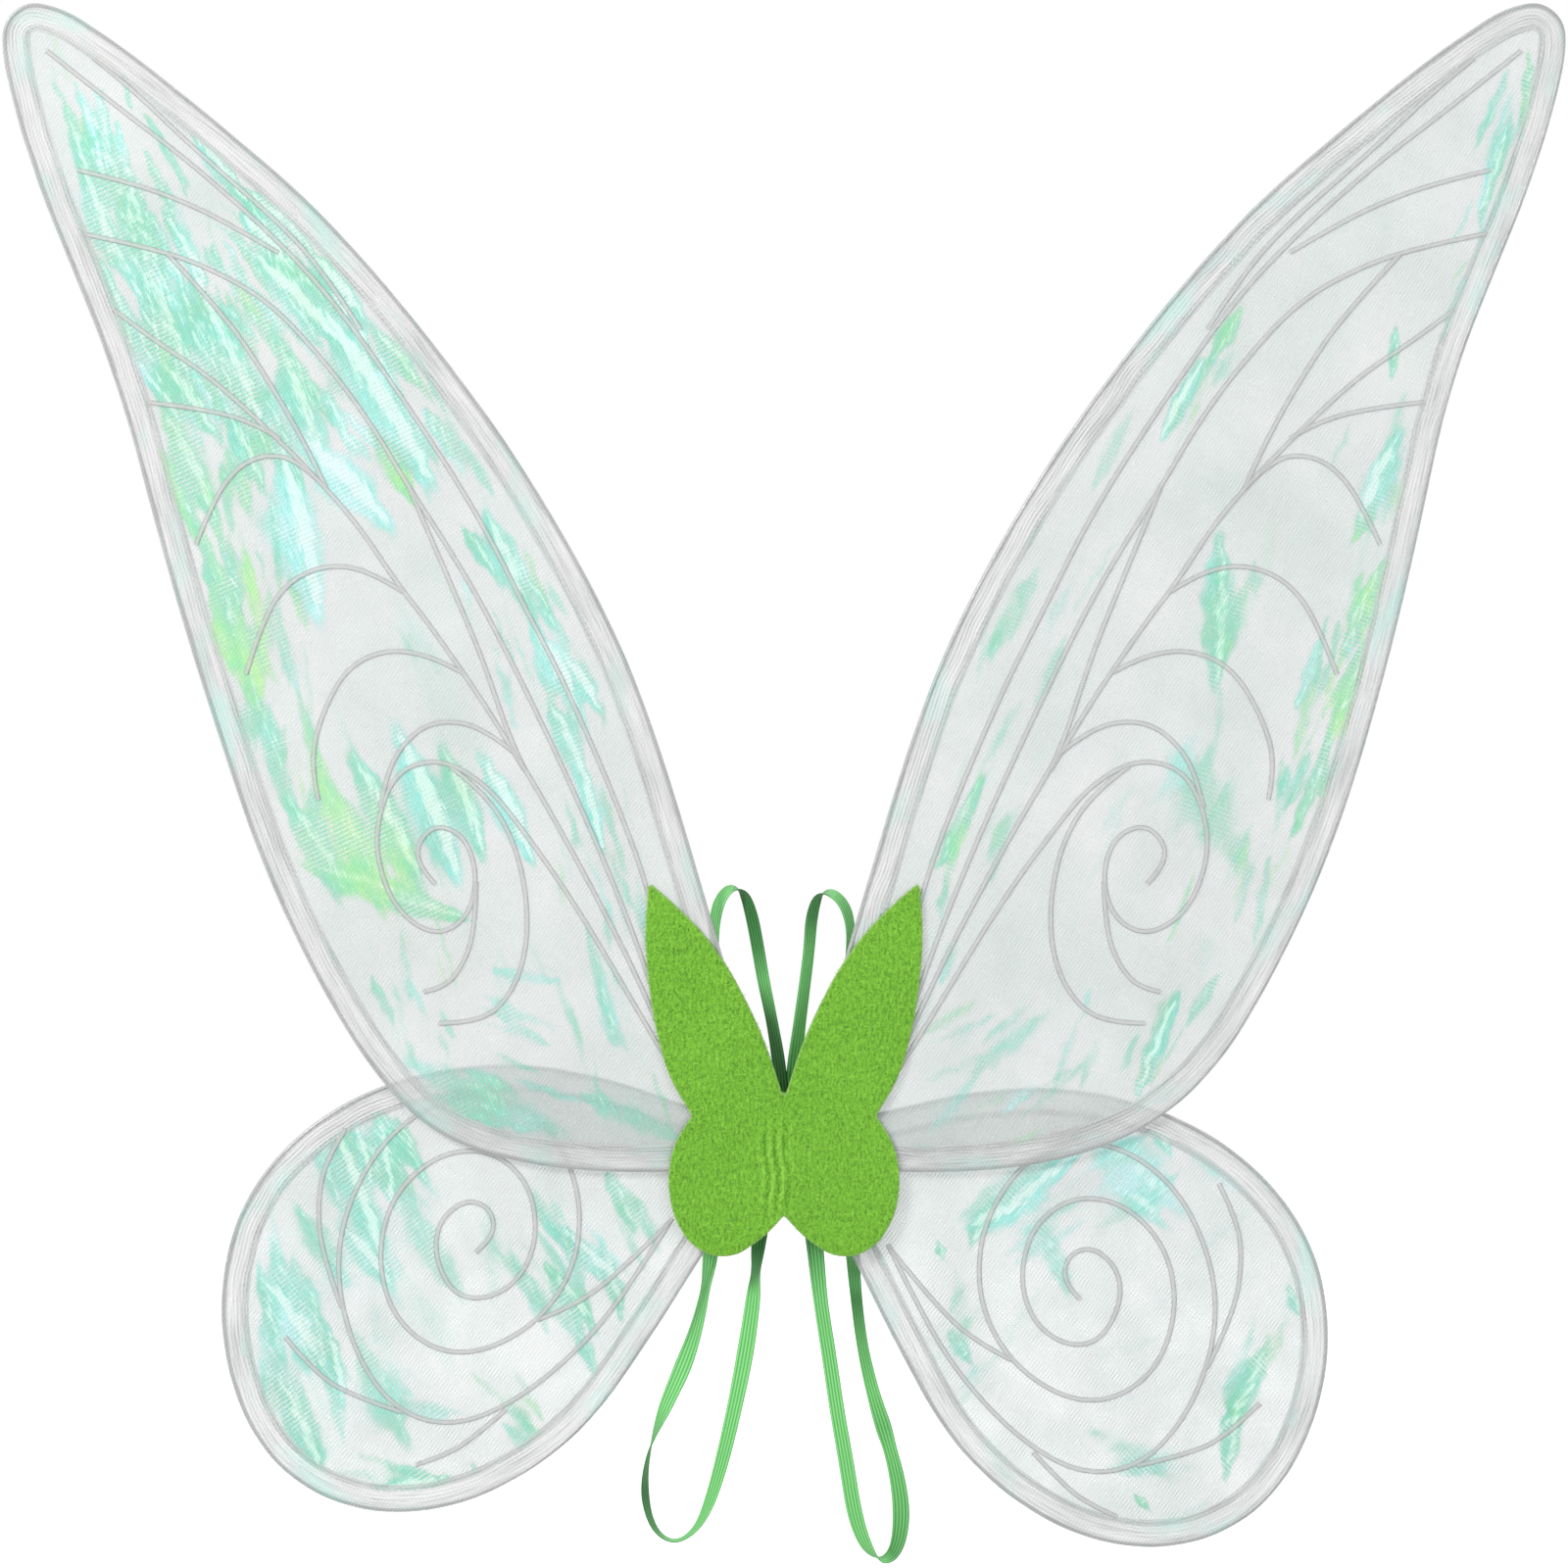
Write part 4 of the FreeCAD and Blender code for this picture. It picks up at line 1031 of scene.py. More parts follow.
def elastic_loop(name, route, leans):
    """A ribbed strip along a route; returns the strip and its centre line."""
    count = len(route)
    controls = [(x * MM, loop_depth(index, count), z * MM) for index, (x, z) in enumerate(route)]
    line = respaced(route_line(name + "_route", controls), RIBBON_STEP)
    tangent = np.gradient(line, axis=0)
    tangent /= np.linalg.norm(tangent, axis=1)[:, None]
    # where each place falls on the route, as a point's number
    flat_route = np.array([(x * MM, z * MM) for x, z in route])
    fine = respaced(flat_route, 0.5 * MM)
    numbers = nearest(line[:, [0, 2]], fine)[0]
    corner_at = nearest(flat_route, fine)[0]
    numbers = np.interp(np.maximum.accumulate(numbers), corner_at, np.arange(count))
    keys = np.array([row[0] for row in leans])
    lean = np.stack([np.interp(numbers, keys, [row[1][axis] for row in leans]) for axis in range(3)], axis=1)
    # how deep in a fold each place lies, which the elastic's material paints as shade
    folded = np.interp(numbers, keys, [row[2] for row in leans])
    kernel = np.ones(7) / 7
    lean = np.stack([np.convolve(np.pad(lean[:, axis], 3, "edge"), kernel, "valid") for axis in range(3)],
                    axis=1)
    width = lean - (lean * tangent).sum(axis=1)[:, None] * tangent
    width /= np.linalg.norm(width, axis=1)[:, None]
    normal = np.cross(tangent, width)
    across = np.linspace(-1, 1, ACROSS)
    rib = 0.5 - 0.5 * np.cos(2 * math.pi * (across + 1) / 2 * RIBS)
    edge_round = np.sqrt(np.clip(1 - np.abs(across) ** 14, 0.02, 1))
    half = (STRAP_HALF_THICK - RIB_RISE + RIB_RISE * rib) * edge_round
    section = [(c * STRAP_WIDTH / 2, h, r) for c, h, r in zip(across, half, rib)]
    section += [(c * STRAP_WIDTH / 2, -h, r) for c, h, r in zip(across[::-1], half[::-1], rib[::-1])]
    section = np.array(section)
    points = (line[:, None, :] + section[None, :, 0, None] * width[:, None, :]
              + section[None, :, 1, None] * normal[:, None, :]).reshape(-1, 3)
    size = len(section)
    faces = []
    for station in range(len(line) - 1):
        for k in range(size):
            a = station * size + k
            b = station * size + (k + 1) % size
            faces.append((a, a + size, b + size, b))
    for end in (0, (len(line) - 1) * size):
        strip = [(end + k, end + k + 1, end + size - 2 - k, end + size - 1 - k) for k in range(size // 2 - 1)]
        faces += strip if end == 0 else [quad[::-1] for quad in strip]
    strap = mesh_object(name, points, faces, elastic)
    outward(strap)
    stored(strap, "rib", np.tile(section[:, 2], len(line)))
    stored(strap, "painted_fold_shade", np.repeat(folded, size))
    along = np.repeat(np.arange(len(line)) * RIBBON_STEP, size) / MM
    unwrapped(strap, "weave", along / 3, np.tile(section[:, 0], len(line)) / MM * 3)
    return strap, line


# %% The two loops, with the box-and-cross stitching at their seams
def seam_patch(end, towards):
    """The lines of a box with a cross in it, on the sewn end of a strap."""
    end = np.array(end)
    towards = (np.array(towards) - end) / np.linalg.norm(np.array(towards) - end)
    beside = np.array([-towards[1], towards[0]])
    corners = [end + towards * (3 + down) + beside * side for down, side in
               ((0, -3.2), (9, -3.2), (9, 3.2), (0, 3.2))]
    path = [corners[k] for k in (0, 1, 2, 3, 0, 2)], [corners[1], corners[3]]
    surface = SEWN_DEPTH + STRAP_HALF_THICK + 0.05 * MM
    return [[(x * MM, surface, z * MM) for x, z in line] for line in path]


for side, route, leans, body in (("left", LEFT_LOOP, LEFT_LEAN, "left_half"),
                                 ("right", RIGHT_LOOP, RIGHT_LEAN, "right_half")):
    strap, line = elastic_loop(f"{side}_shoulder_loop", route, leans)
    seams = seam_patch(route[0], route[1]) + seam_patch(route[-1], route[-2])
    seam_lines = lines_object(f"{side}_seam_lines", seams)
    stitches = grown(f"{side}_loop_stitching", seam_lines, stitch_row,
                     {"Pitch": 0.0018, "Stitch length": 0.0016, "Thread": 0.0005, "Material": green_thread})
    length = float(np.linalg.norm(np.diff(line, axis=0), axis=1).sum())
    for piece, slot_name, node in ((strap, "green_elastic", f"{side}_strap"),
                                   (stitches, "green_thread", f"{side}_strap_stitches")):
        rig.ride(piece, body)
        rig.replaces(piece, node)
        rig.slot(piece, slot_name)
    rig.cord(strap, exit=line[0], length=length, diameter=STRAP_WIDTH, far_end="object", stiffness="limp",
            lay="loose", path=line, with_pieces=[stitches])
    print(side, "loop", round(length, 4), "m,", len(strap.data.polygons), "faces")

# %% [markdown]
# ## Where the film catches the light
# The film between the cloths is one crinkled sheet. Where it lies flat it hardly shows, and where a crease
# turns it the coating flashes mint, teal or yellow-green. The creases run with the length of the wing. The
# flashes are painted reflection: each is a streak from one point to another with a width, a strength and a
# colour that it leans to, from 0, yellow-green, to 1, nearly white, in millimetres on the wing.

# %% Streaks
# Rows of x and z at one end, x and z at the other, width, strength and the colour leaned to.
STREAKS = {
    "left_upper": [
        (-365, 530, -344, 458, 8, 0.8, 0.55), (-354, 491, -340, 457, 10, 0.9, 0.5),
        (-347, 453, -333, 415, 8, 0.8, 0.5), (-340, 526, -331, 489, 4, 0.8, 0.7),
        (-334, 486, -323, 458, 5, 0.7, 0.3), (-324, 451, -306, 402, 12, 0.9, 0.45),
        (-325, 511, -312, 481, 5, 0.8, 0.5), (-315, 479, -296, 448, 8, 0.9, 0.6),
        (-298, 440, -269, 377, 16, 0.9, 0.45), (-315, 483, -268, 377, 3, 1.0, 0.9),
        (-315, 401, -294, 373, 14, 0.9, 0.5), (-312, 370, -293, 330, 17, 0.85, 0.4),
        (-283, 377, -268, 345, 12, 0.8, 0.5), (-298, 517, -278, 491, 10, 0.9, 0.6),
        (-274, 491, -245, 466, 13, 0.7, 0.6), (-275, 479, -256, 458, 7, 1.0, 0.8),
        (-264, 453, -232, 420, 15, 1.0, 0.7), (-240, 458, -217, 430, 14, 0.9, 0.65),
        (-255, 405, -236, 351, 17, 0.8, 0.55), (-229, 421, -185, 351, 20, 1.0, 0.8),
        (-205, 417, -189, 397, 12, 0.8, 0.5), (-181, 378, -171, 364, 8, 0.8, 0.5),
        (-237, 357, -210, 330, 22, 1.0, 0.95), (-206, 364, -191, 338, 12, 0.9, 0.2),
        (-322, 362, -292, 305, 9, 0.8, 0.15), (-292, 305, -269, 230, 14, 0.8, 0.15),
        (-255, 350, -240, 285, 22, 0.9, 0.85), (-150, 322, -136, 290, 13, 0.9, 0.6),
        (-162, 318, -150, 300, 8, 0.8, 0.5), (-124, 262, -110, 236, 17, 1.0, 0.85),
        (-110, 252, -97, 232, 11, 1.0, 0.8), (-118, 228, -104, 196, 12, 0.85, 0.6),
        (-106, 205, -94, 160, 9, 1.0, 0.9), (-150, 196, -132, 158, 15, 1.0, 0.85),
        (-172, 202, -156, 160, 16, 0.9, 0.5), (-194, 208, -170, 150, 20, 1.0, 0.8),
        (-216, 196, -190, 148, 18, 1.0, 0.4), (-234, 186, -206, 138, 17, 1.0, 0.1),
        (-250, 176, -228, 142, 15, 0.9, 0.3), (-236, 146, -176, 126, 15, 1.0, 0.15),
        (-204, 132, -166, 122, 10, 0.8, 0.4), (-272, 240, -250, 175, 13, 0.5, 0.5),
        (-185, 45, -120, 15, 22, 0.45, 0.6), (-100, 30, -55, 10, 14, 0.45, 0.5),
        (-100, 115, -87, 60, 7, 0.6, 0.6), (-75, 140, -55, 50, 7, 0.4, 0.7),
        (-210, 90, -200, 70, 6, 0.6, 0.5), (-190, 268, -150, 190, 30, 0.22, 0.6),
    ],
    "left_lower": [
        (-262, -68, -243, -96, 13, 1.0, 0.9), (-246, -84, -238, -104, 9, 0.8, 0.6),
        (-232, -92, -226, -122, 8, 1.0, 0.9), (-229, 12, -206, -52, 15, 0.95, 0.6),
        (-218, 14, -211, -12, 6, 1.0, 0.9), (-206, 12, -200, -22, 7, 0.9, 0.85),
        (-196, 16, -186, -8, 9, 0.7, 0.5), (-222, -40, -206, -60, 12, 0.9, 0.8),
        (-246, -30, -228, -58, 12, 0.55, 0.6), (-268, -60, -258, -100, 8, 0.6, 0.6),
        (-255, -120, -238, -160, 15, 0.8, 0.6), (-262, -100, -240, -150, 14, 0.5, 0.6),
        (-215, -100, -196, -140, 20, 0.55, 0.55), (-190, -32, -168, -66, 18, 0.5, 0.6),
        (-150, -30, -148, -70, 14, 0.35, 0.6), (-118, -60, -100, -84, 12, 0.8, 0.5),
        (-108, -42, -88, -62, 10, 1.0, 0.85), (-92, -48, -84, -78, 9, 0.8, 0.6),
        (-90, -8, -78, -34, 10, 0.7, 0.5), (-76, -22, -66, -44, 9, 0.6, 0.5),
        (-104, -90, -96, -112, 8, 0.6, 0.6), (-205, -172, -178, -166, 11, 0.9, 0.7),
        (-198, -182, -186, -170, 7, 0.8, 0.8), (-158, -160, -152, -178, 8, 0.5, 0.5),
        (-140, -140, -120, -160, 9, 0.5, 0.6), (-128, -20, -112, -44, 10, 0.5, 0.5),
        (-230, -60, -180, -20, 40, 0.22, 0.7), (-240, -150, -200, -120, 44, 0.20, 0.7),
    ],
    "right_upper": [
        (195, 370, 212, 402, 9, 1.0, 0.7), (231, 429, 220, 410, 10, 0.8, 0.3),
        (297, 330, 310, 360, 13, 1.0, 0.9), (293, 318, 300, 332, 8, 0.9, 0.1),
        (287, 260, 305, 300, 10, 0.9, 0.3), (295, 260, 277, 210, 6, 0.9, 0.35),
        (277, 210, 260, 165, 7, 0.8, 0.4), (222, 310, 220, 245, 16, 0.7, 0.5),
        (380, 560, 377, 515, 6, 0.9, 0.3), (377, 515, 355, 455, 7, 0.9, 0.5),
        (355, 455, 337, 420, 7, 0.8, 0.7), (312, 420, 310, 400, 6, 0.8, 0.5),
        (127, 295, 107, 260, 14, 0.5, 0.5), (80, 150, 100, 190, 8, 0.8, 0.4),
        (205, 195, 230, 155, 26, 0.38, 0.5), (182, 35, 200, 80, 8, 0.9, 0.7),
        (207, 70, 220, 90, 8, 0.6, 0.5), (247, 150, 240, 110, 6, 0.5, 0.5),
        (160, 345, 175, 375, 12, 0.4, 0.5), (100, 45, 130, 70, 14, 0.4, 0.55),
        (295, 530, 305, 540, 8, 0.6, 0.4), (235, 290, 222, 250, 8, 0.45, 0.3),
    ],
    "right_lower": [
        (100, -34, 120, -26, 11, 1.0, 0.8), (112, -30, 146, -2, 10, 1.0, 0.9),
        (96, -28, 140, 2, 16, 0.5, 0.6), (160, 6, 196, -22, 26, 0.5, 0.85),
        (176, -20, 190, -32, 14, 0.6, 0.8), (185, 22, 196, 4, 8, 0.7, 0.7),
        (205, 6, 240, -20, 14, 0.4, 0.85), (134, -42, 144, -66, 12, 0.5, 0.55),
        (259, -70, 262, -78, 7, 0.9, 0.7), (242, -104, 228, -132, 14, 0.85, 0.45),
        (230, -128, 226, -160, 10, 0.85, 0.5), (79, -46, 81, -50, 6, 0.9, 0.6),
        (104, -26, 96, -44, 8, 0.8, 0.6), (88, -62, 92, -92, 12, 0.3, 0.6),
        (86, -92, 94, -104, 8, 0.6, 0.6), (160, -142, 190, -160, 14, 0.3, 0.6),
        (180, -174, 186, -180, 4, 0.9, 0.4), (150, -60, 210, -110, 60, 0.12, 0.9),
    ],
}


# %% How strongly each place glints
def glints(x, z, streaks):
    """How strongly each place shows the film's painted reflection, its colour, and its painted highlight near a
    streak's bright crest.
    """
    strength = np.zeros_like(x)
    crest = np.zeros_like(x)
    lean_sum = np.full_like(x, 0.5 * 1e-3)
    weight_sum = np.full_like(x, 1e-3)
    for x1, z1, x2, z2, width, power, lean in streaks:
        start = np.array([x1, z1]) * MM
        run = np.array([x2, z2]) * MM - start
        length = np.linalg.norm(run)
        run /= length
        half = width * MM / 2
        along = (x - start[0]) * run[0] + (z - start[1]) * run[1]
        aside = -(x - start[0]) * run[1] + (z - start[1]) * run[0]
        near = (np.abs(aside) < 3 * half) & (np.abs(along - length / 2) < length / 2 + 4 * half)
        middle = np.clip(np.abs(2 * along[near] / length - 1), 0, 1)
        slim = half * np.sqrt(1 - 0.82 * middle ** 2)
        beyond = np.maximum(0, np.abs(along[near] - length / 2) - length / 2)
        shape = np.exp(-np.abs(aside[near] / slim) ** 2.6 - (beyond / (1.3 * half)) ** 2)
        cover = power * shape
        strength[near] = 1 - (1 - strength[near]) * (1 - cover)
        # a painted highlight along one side of the streak's crest
        ridge = cover * np.exp(-((aside[near] / slim - 0.35) / 0.45) ** 2) * min(1.0, 0.25 + lean)
        crest[near] = np.maximum(crest[near], ridge)
        lean_sum[near] += cover * lean
        weight_sum[near] += cover
    return strength, lean_sum / weight_sum, crest


# %% Crumpled areas
# Centre, reach across and along, the way the creases run in degrees from upright, how many
# streaks, the strongest, the colour they lean to and how broad they are. Small streaks are strewn in each
# from a fixed seed.
CRUMPLED = {
    "left_upper": [
        (-348, 500, 16, 40, 18, 40, 0.60, 0.6, 1.0), (-322, 470, 22, 50, 20, 46, 0.60, 0.6, 1.0),
        (-310, 410, 26, 45, 24, 46, 0.60, 0.5, 1.3), (-270, 450, 30, 30, 38, 40, 0.55, 0.6, 1.2),
        (-235, 395, 40, 40, 30, 44, 0.60, 0.65, 1.4), (-280, 350, 30, 45, 20, 30, 0.50, 0.45, 1.6),
        (-275, 270, 26, 60, 12, 36, 0.45, 0.3, 1.4), (-180, 370, 26, 40, 32, 18, 0.40, 0.6, 1.2),
        (-130, 270, 24, 60, 24, 26, 0.45, 0.6, 1.2), (-205, 165, 40, 22, 20, 24, 0.40, 0.35, 1.5),
        (-98, 170, 20, 60, 14, 24, 0.40, 0.6, 1.2), (-200, 80, 46, 40, 20, 22, 0.35, 0.5, 1.2),
        (-150, 25, 60, 18, 70, 30, 0.40, 0.6, 1.6), (-80, 60, 30, 50, 20, 22, 0.35, 0.55, 1.2),
        (-245, 200, 22, 40, 14, 16, 0.35, 0.45, 1.2), (-200, 280, 60, 60, 24, 12, 0.18, 0.6, 3.0),
        (-310, 430, 40, 90, 24, 16, 0.30, 0.65, 4.0),
    ],
    "left_lower": [
        (-250, -90, 18, 46, 10, 26, 0.40, 0.65, 1.8), (-205, 0, 30, 20, 30, 20, 0.45, 0.65, 1.8),
        (-105, -50, 34, 40, 30, 26, 0.35, 0.6, 1.6), (-190, -165, 50, 14, 80, 20, 0.35, 0.6, 1.8),
        (-125, -140, 20, 30, 40, 14, 0.30, 0.55, 1.6), (-215, -60, 40, 60, 24, 12, 0.20, 0.7, 4.0),
    ],
    "right_upper": [
        (205, 390, 22, 34, -25, 8, 0.30, 0.5, 2.0), (300, 345, 18, 40, -15, 8, 0.32, 0.5, 2.0),
        (285, 240, 16, 70, -18, 28, 0.50, 0.3, 1.3), (225, 280, 20, 45, -5, 12, 0.30, 0.45, 2.0),
        (362, 490, 16, 70, -18, 30, 0.50, 0.55, 1.2), (120, 260, 30, 60, -28, 20, 0.28, 0.55, 1.6),
        (90, 150, 26, 60, -20, 22, 0.36, 0.5, 1.3), (190, 60, 50, 40, -20, 18, 0.32, 0.55, 1.6),
        (245, 150, 26, 50, -20, 18, 0.32, 0.45, 1.4), (110, 40, 50, 26, -50, 16, 0.32, 0.5, 1.6),
        (290, 500, 50, 50, -35, 10, 0.16, 0.6, 3.5), (200, 180, 30, 50, -25, 12, 0.22, 0.5, 3.5),
    ],
    "right_lower": [
        (125, -20, 30, 22, -60, 14, 0.35, 0.7, 1.8), (185, -10, 34, 18, -60, 12, 0.28, 0.85, 2.6),
        (240, -110, 16, 46, -15, 14, 0.28, 0.5, 1.6), (100, -90, 40, 40, -40, 10, 0.20, 0.6, 2.4),
        (190, -150, 50, 20, -70, 12, 0.22, 0.6, 2.0),
    ],
}


def strewn(areas, seed):
    """Small seeded streaks, in the same form as the chosen ones."""
    rng = np.random.default_rng(seed)
    streaks = []
    for x, z, across, along, turn, count, power, lean, breadth in areas:
        for _ in range(count):
            angle = math.radians(turn + rng.normal(0, 7))
            run = np.array([math.sin(angle), -math.cos(angle)])
            side = np.array([run[1], -run[0]])
            middle = np.array([x, z]) + run * rng.normal(0, along * 0.55) + side * rng.normal(0,
                                                                                              across * 0.55)
            length = rng.uniform(10, 42)
            start = middle - run * length / 2
            end = middle + run * length / 2
            width = rng.uniform(1.6, 6.5) * breadth
            streaks.append((*start, *end, width, power * rng.uniform(0.4, 1.25), lean + rng.normal(0, 0.22)))
    return streaks


for prefix, areas in CRUMPLED.items():
    print(prefix, len(STREAKS[prefix]), "chosen streaks and", sum(area[5] for area in areas), "strewn")


# %% [markdown]
# ## The wings
# Each wing is built in the order it is sewn: two cloths and the film between them, cut from one outline, then
# the binding folded over the edge with the wire in its rim, then the veins and the stitches. The three
# sheets share one slow billow so that they never cross. The film adds small sharp creases of its own.
# The binding is gathered along its length, which draws it into long fine pleats beside the rim.

# %% Sizes of the sewn parts
HEM_WIDTH = 14.0 * MM
PANEL_INSET = 5.0 * MM
RIM_RADIUS = 1.3 * MM
NOTCH_REACH = 5.6 * MM
TUCK = 3.0 * MM
BILLOW = 0.22 * MM
LAYER_SPACE = 0.28 * MM
CREASE = 0.16 * MM
CLOTH_STEP = 3.0 * MM
FILM_STEP = 1.7 * MM
STATION_STEP = 2.3 * MM
VEIN_WIDTH = 2.4 * MM
VEIN_HEIGHT = 0.42 * MM
BAND_INSETS = np.concatenate([[14.0, 13.7], np.arange(13.3, 2.6, -0.42)]) * MM
RIM_WRAP = math.radians(158)
PLEAT_PITCH = 1.75
SEAM_INSETS = (12.6 * MM, 11.0 * MM)
SEAM_HEIGHT = 0.72 * MM
ROOT_X = 22.0 * MM
ROOT_Z = 6.0 * MM


def wing_outlines(prefix, root):
    """The wing's outer edge and the inner edge of its hem, from the frame."""
    panel = flat_loops(prefix + "_film")[0][2]
    panel = panel[np.linalg.norm(panel - root, axis=1) > NOTCH_REACH]
    panel = smoothed(evenly(anticlockwise(panel), STATION_STEP), 3)
    long_loops = [item for item in flat_loops(prefix + "_hem") if item[0] > 0.6 * perimeter(panel)]
    hem_inner = anticlockwise(min(long_loops, key=lambda item: item[0])[2])
    return moved_out(panel, PANEL_INSET), evenly(hem_inner, 0.6 * MM)


def loop_noise(seed, length, shortest, longest):
    """A smooth random value along a closed loop, the same at its start and end."""
    rng = np.random.default_rng(seed)
    turns = rng.integers(round(length / longest), round(length / shortest) + 1, 9)
    phases = rng.uniform(0, 2 * math.pi, 9)
    return lambda s: sum(np.sin(2 * math.pi * turn * s / length + phase)
                         for turn, phase in zip(turns, phases)) / 3.0


# %% The folded binding
def hem_binding(prefix, outer, hem_inner, depth, seed):
    """A flattened sleeve round the wing: pleated band, round rim over the wire, and the same behind."""
    inner = smoothed(hem_inner[nearest(outer, hem_inner)[0]], 2)
    length = perimeter(outer)
    along = np.linspace(0, length, len(outer), endpoint=False)
    wander = loop_noise(seed, length, 0.030, 0.120)
    swell = loop_noise(seed + 1, length, 0.012, 0.040)
    pucker = loop_noise(seed + 2, length, 0.0035, 0.008)
    rim_turn = np.linspace(RIM_WRAP, 0, 8)
    rim_inset = RIM_RADIUS * (1 - np.cos(rim_turn))
    sides = []
    for face, shift in ((-1, 0.0), (1, 0.4)):
        for inset in BAND_INSETS:
            wave = np.sin(2 * math.pi * (inset / MM + 0.75 * wander(along) + shift) / PLEAT_PITCH)
            fine = np.sin(2 * math.pi * (inset / MM * 1.9 + 0.6 * swell(along)) / PLEAT_PITCH)
            pleat = (0.20 + 0.05 * swell(along)) * wave + 0.07 * fine + 0.035 * pucker(along)
            fade = min(1.0, (HEM_WIDTH - inset) / (0.8 * MM) + 0.15)
            height = (0.46 + 0.16 * fade + pleat * fade) * MM
            sides.append((inset, face * height, fade * (wave + 0.4 * fine)))
        for turn, inset in zip(rim_turn, rim_inset):
            sides.append((inset, np.full(len(outer), face * RIM_RADIUS * math.sin(turn)), 0.0 * along))
    front = sides[:len(sides) // 2]
    back = sides[len(sides) // 2:]
    ring = front + back[::-1][1:]
    points = []
    for inset, height, _ in ring:
        share = (inset / HEM_WIDTH)
        flat = outer + (inner - outer) * share
        points.append(np.stack([flat[:, 0], depth + height, flat[:, 1]], axis=1))
    points = np.stack(points, axis=1)
    stations, size, _ = points.shape
    faces = []
    for i in range(stations):
        j = (i + 1) % stations
        for k in range(size):
            m = (k + 1) % size
            faces.append((i * size + k, i * size + m, j * size + m, j * size + k))
    hem = mesh_object(prefix + "_folded_hem", points.reshape(-1, 3), faces, hem_cloth)
    outward(hem)
    stored(hem, "ridge", np.stack([ridge for _, _, ridge in ring], axis=1).ravel())
    insets = np.array([inset for inset, _, _ in ring]) / MM
    unwrapped(hem, "binding", np.repeat(along, size) / MM, np.tile(insets, stations))
    return hem


# %% Vein routes of the right wings, the same as the frame's
UPPER_VEINS = {
    "first_rib": [(53, 36), (61, 90), (71, 139), (92, 193), (114, 243), (133, 280), (158, 330), (194, 386),
                  (230, 437), (262, 471), (304, 508), (336, 532), (376, 564)],
    "tip_rib": [(216, 422), (234, 450), (256, 475), (302, 515), (334, 546), (352, 560)],
    "second_rib": [(52, 34), (71, 93), (94, 151), (120, 209), (152, 275), (172, 310), (192, 341), (211, 374),
                   (233, 404), (263, 437), (299, 456), (330, 465), (360, 471)],
    "third_rib": [(51, 32), (70, 77), (97, 130), (125, 180), (141, 206), (156, 253), (168, 283), (192, 341)],
    "middle_rib": [(136, 197), (152, 225), (184, 272), (199, 291), (219, 322), (237, 343), (262, 369),
                   (293, 398),
                   (321, 416), (342, 432)],
    "middle_fork": [(235, 341), (246, 366), (268, 404), (287, 431), (315, 461)],
    "tip_arch": [(258, 461), (275, 471), (299, 484), (330, 496), (360, 503)],
    "low_arch": [(258, 366), (270, 374), (299, 382), (338, 386)],
    "first_arch": [(236, 342), (250, 356), (266, 358), (280, 352), (293, 336), (304, 312)],
    "second_arch": [(197, 288), (214, 299), (236, 302), (256, 294), (271, 275), (282, 246)],
    "third_arch": [(168, 247), (182, 255), (206, 259), (228, 250), (243, 226), (251, 201), (247, 182)],
    "fourth_arch": [(140, 205), (151, 214), (168, 222), (187, 221), (201, 210), (210, 195), (214, 178)],
    "spiral": [(50, 31), (71, 64), (110, 129), (140, 170), (157, 190), (180, 203), (203, 198), (214, 178),
               (217, 154), (207, 126), (186, 112), (168, 121), (162, 142), (168, 163), (184, 170), (195, 159),
               (193, 147), (185, 139)],
    "outer_curl": [(176, 199), (158, 186), (143, 163), (136, 135), (136, 107), (144, 84), (161, 68),
                   (184, 68)],
    "inner_curl": [(163, 140), (164, 115), (171, 97), (181, 86), (192, 84)],
}
LOWER_VEINS = {
    "spiral": [(151, -73), (142, -64), (145, -50), (158, -46), (171, -58), (172, -76), (161, -95), (144, -97),
               (127, -85), (120, -62), (127, -35), (148, -20), (174, -24), (195, -46), (201, -76),
               (192, -107),
               (169, -125), (142, -124), (113, -103), (98, -70), (102, -31), (127, 3), (165, 9), (200, -14),
               (219, -54), (221, -92), (207, -131), (183, -158), (152, -163), (119, -144), (86, -108),
               (64, -68),
               (53, -45)],
    "outer_arch": [(216, -108), (230, -80), (234, -52), (231, -32), (222, -14)],
    "tail_arch": [(180, -158), (203, -153), (225, -144), (243, -126)],
    "heel_arch": [(127, -151), (140, -165), (154, -177), (170, -184)],
    "root_arch": [(116, -104), (96, -94), (74, -72), (54, -47)],
}
LEFT_NARROWING = 10.0
LEFT_LOWER_LIFT = 6.0
LEFT_LOWER_VEIN_RAISE = 10.0


def clamp(value):
    return max(0.0, min(1.0, value))


def lifted(x, z):
    """A place on the left lower wing, in millimetres, turned up about the wing's root."""
    angle = -math.radians(LEFT_LOWER_LIFT)
    dx, dz = x + ROOT_X / MM, z - ROOT_Z / MM
    return (-ROOT_X / MM + math.cos(angle) * dx - math.sin(angle) * dz,
            ROOT_Z / MM + math.sin(angle) * dx + math.cos(angle) * dz)


def on_wing(points, side, layer):
    """A right wing's route placed on either side, with the left frames' own bends."""
    placed = []
    for x, z in points:
        if side == "left" and layer == "upper":
            inner_edge = 12 + 0.12 * z + 0.0007 * z * z
            x -= LEFT_NARROWING * clamp((x - inner_edge) / 200) * clamp((400 - z) / 200) * clamp(z / 40)
        if side == "left" and layer == "lower":
            z += LEFT_LOWER_VEIN_RAISE
        if side == "left":
            x = -x
        placed.append(lifted(x, z) if side == "left" and layer == "lower" else (x, z))
    return placed


# %% One wing
FAN = {"left_upper": 24, "right_upper": -20, "left_lower": 35, "right_lower": -45}


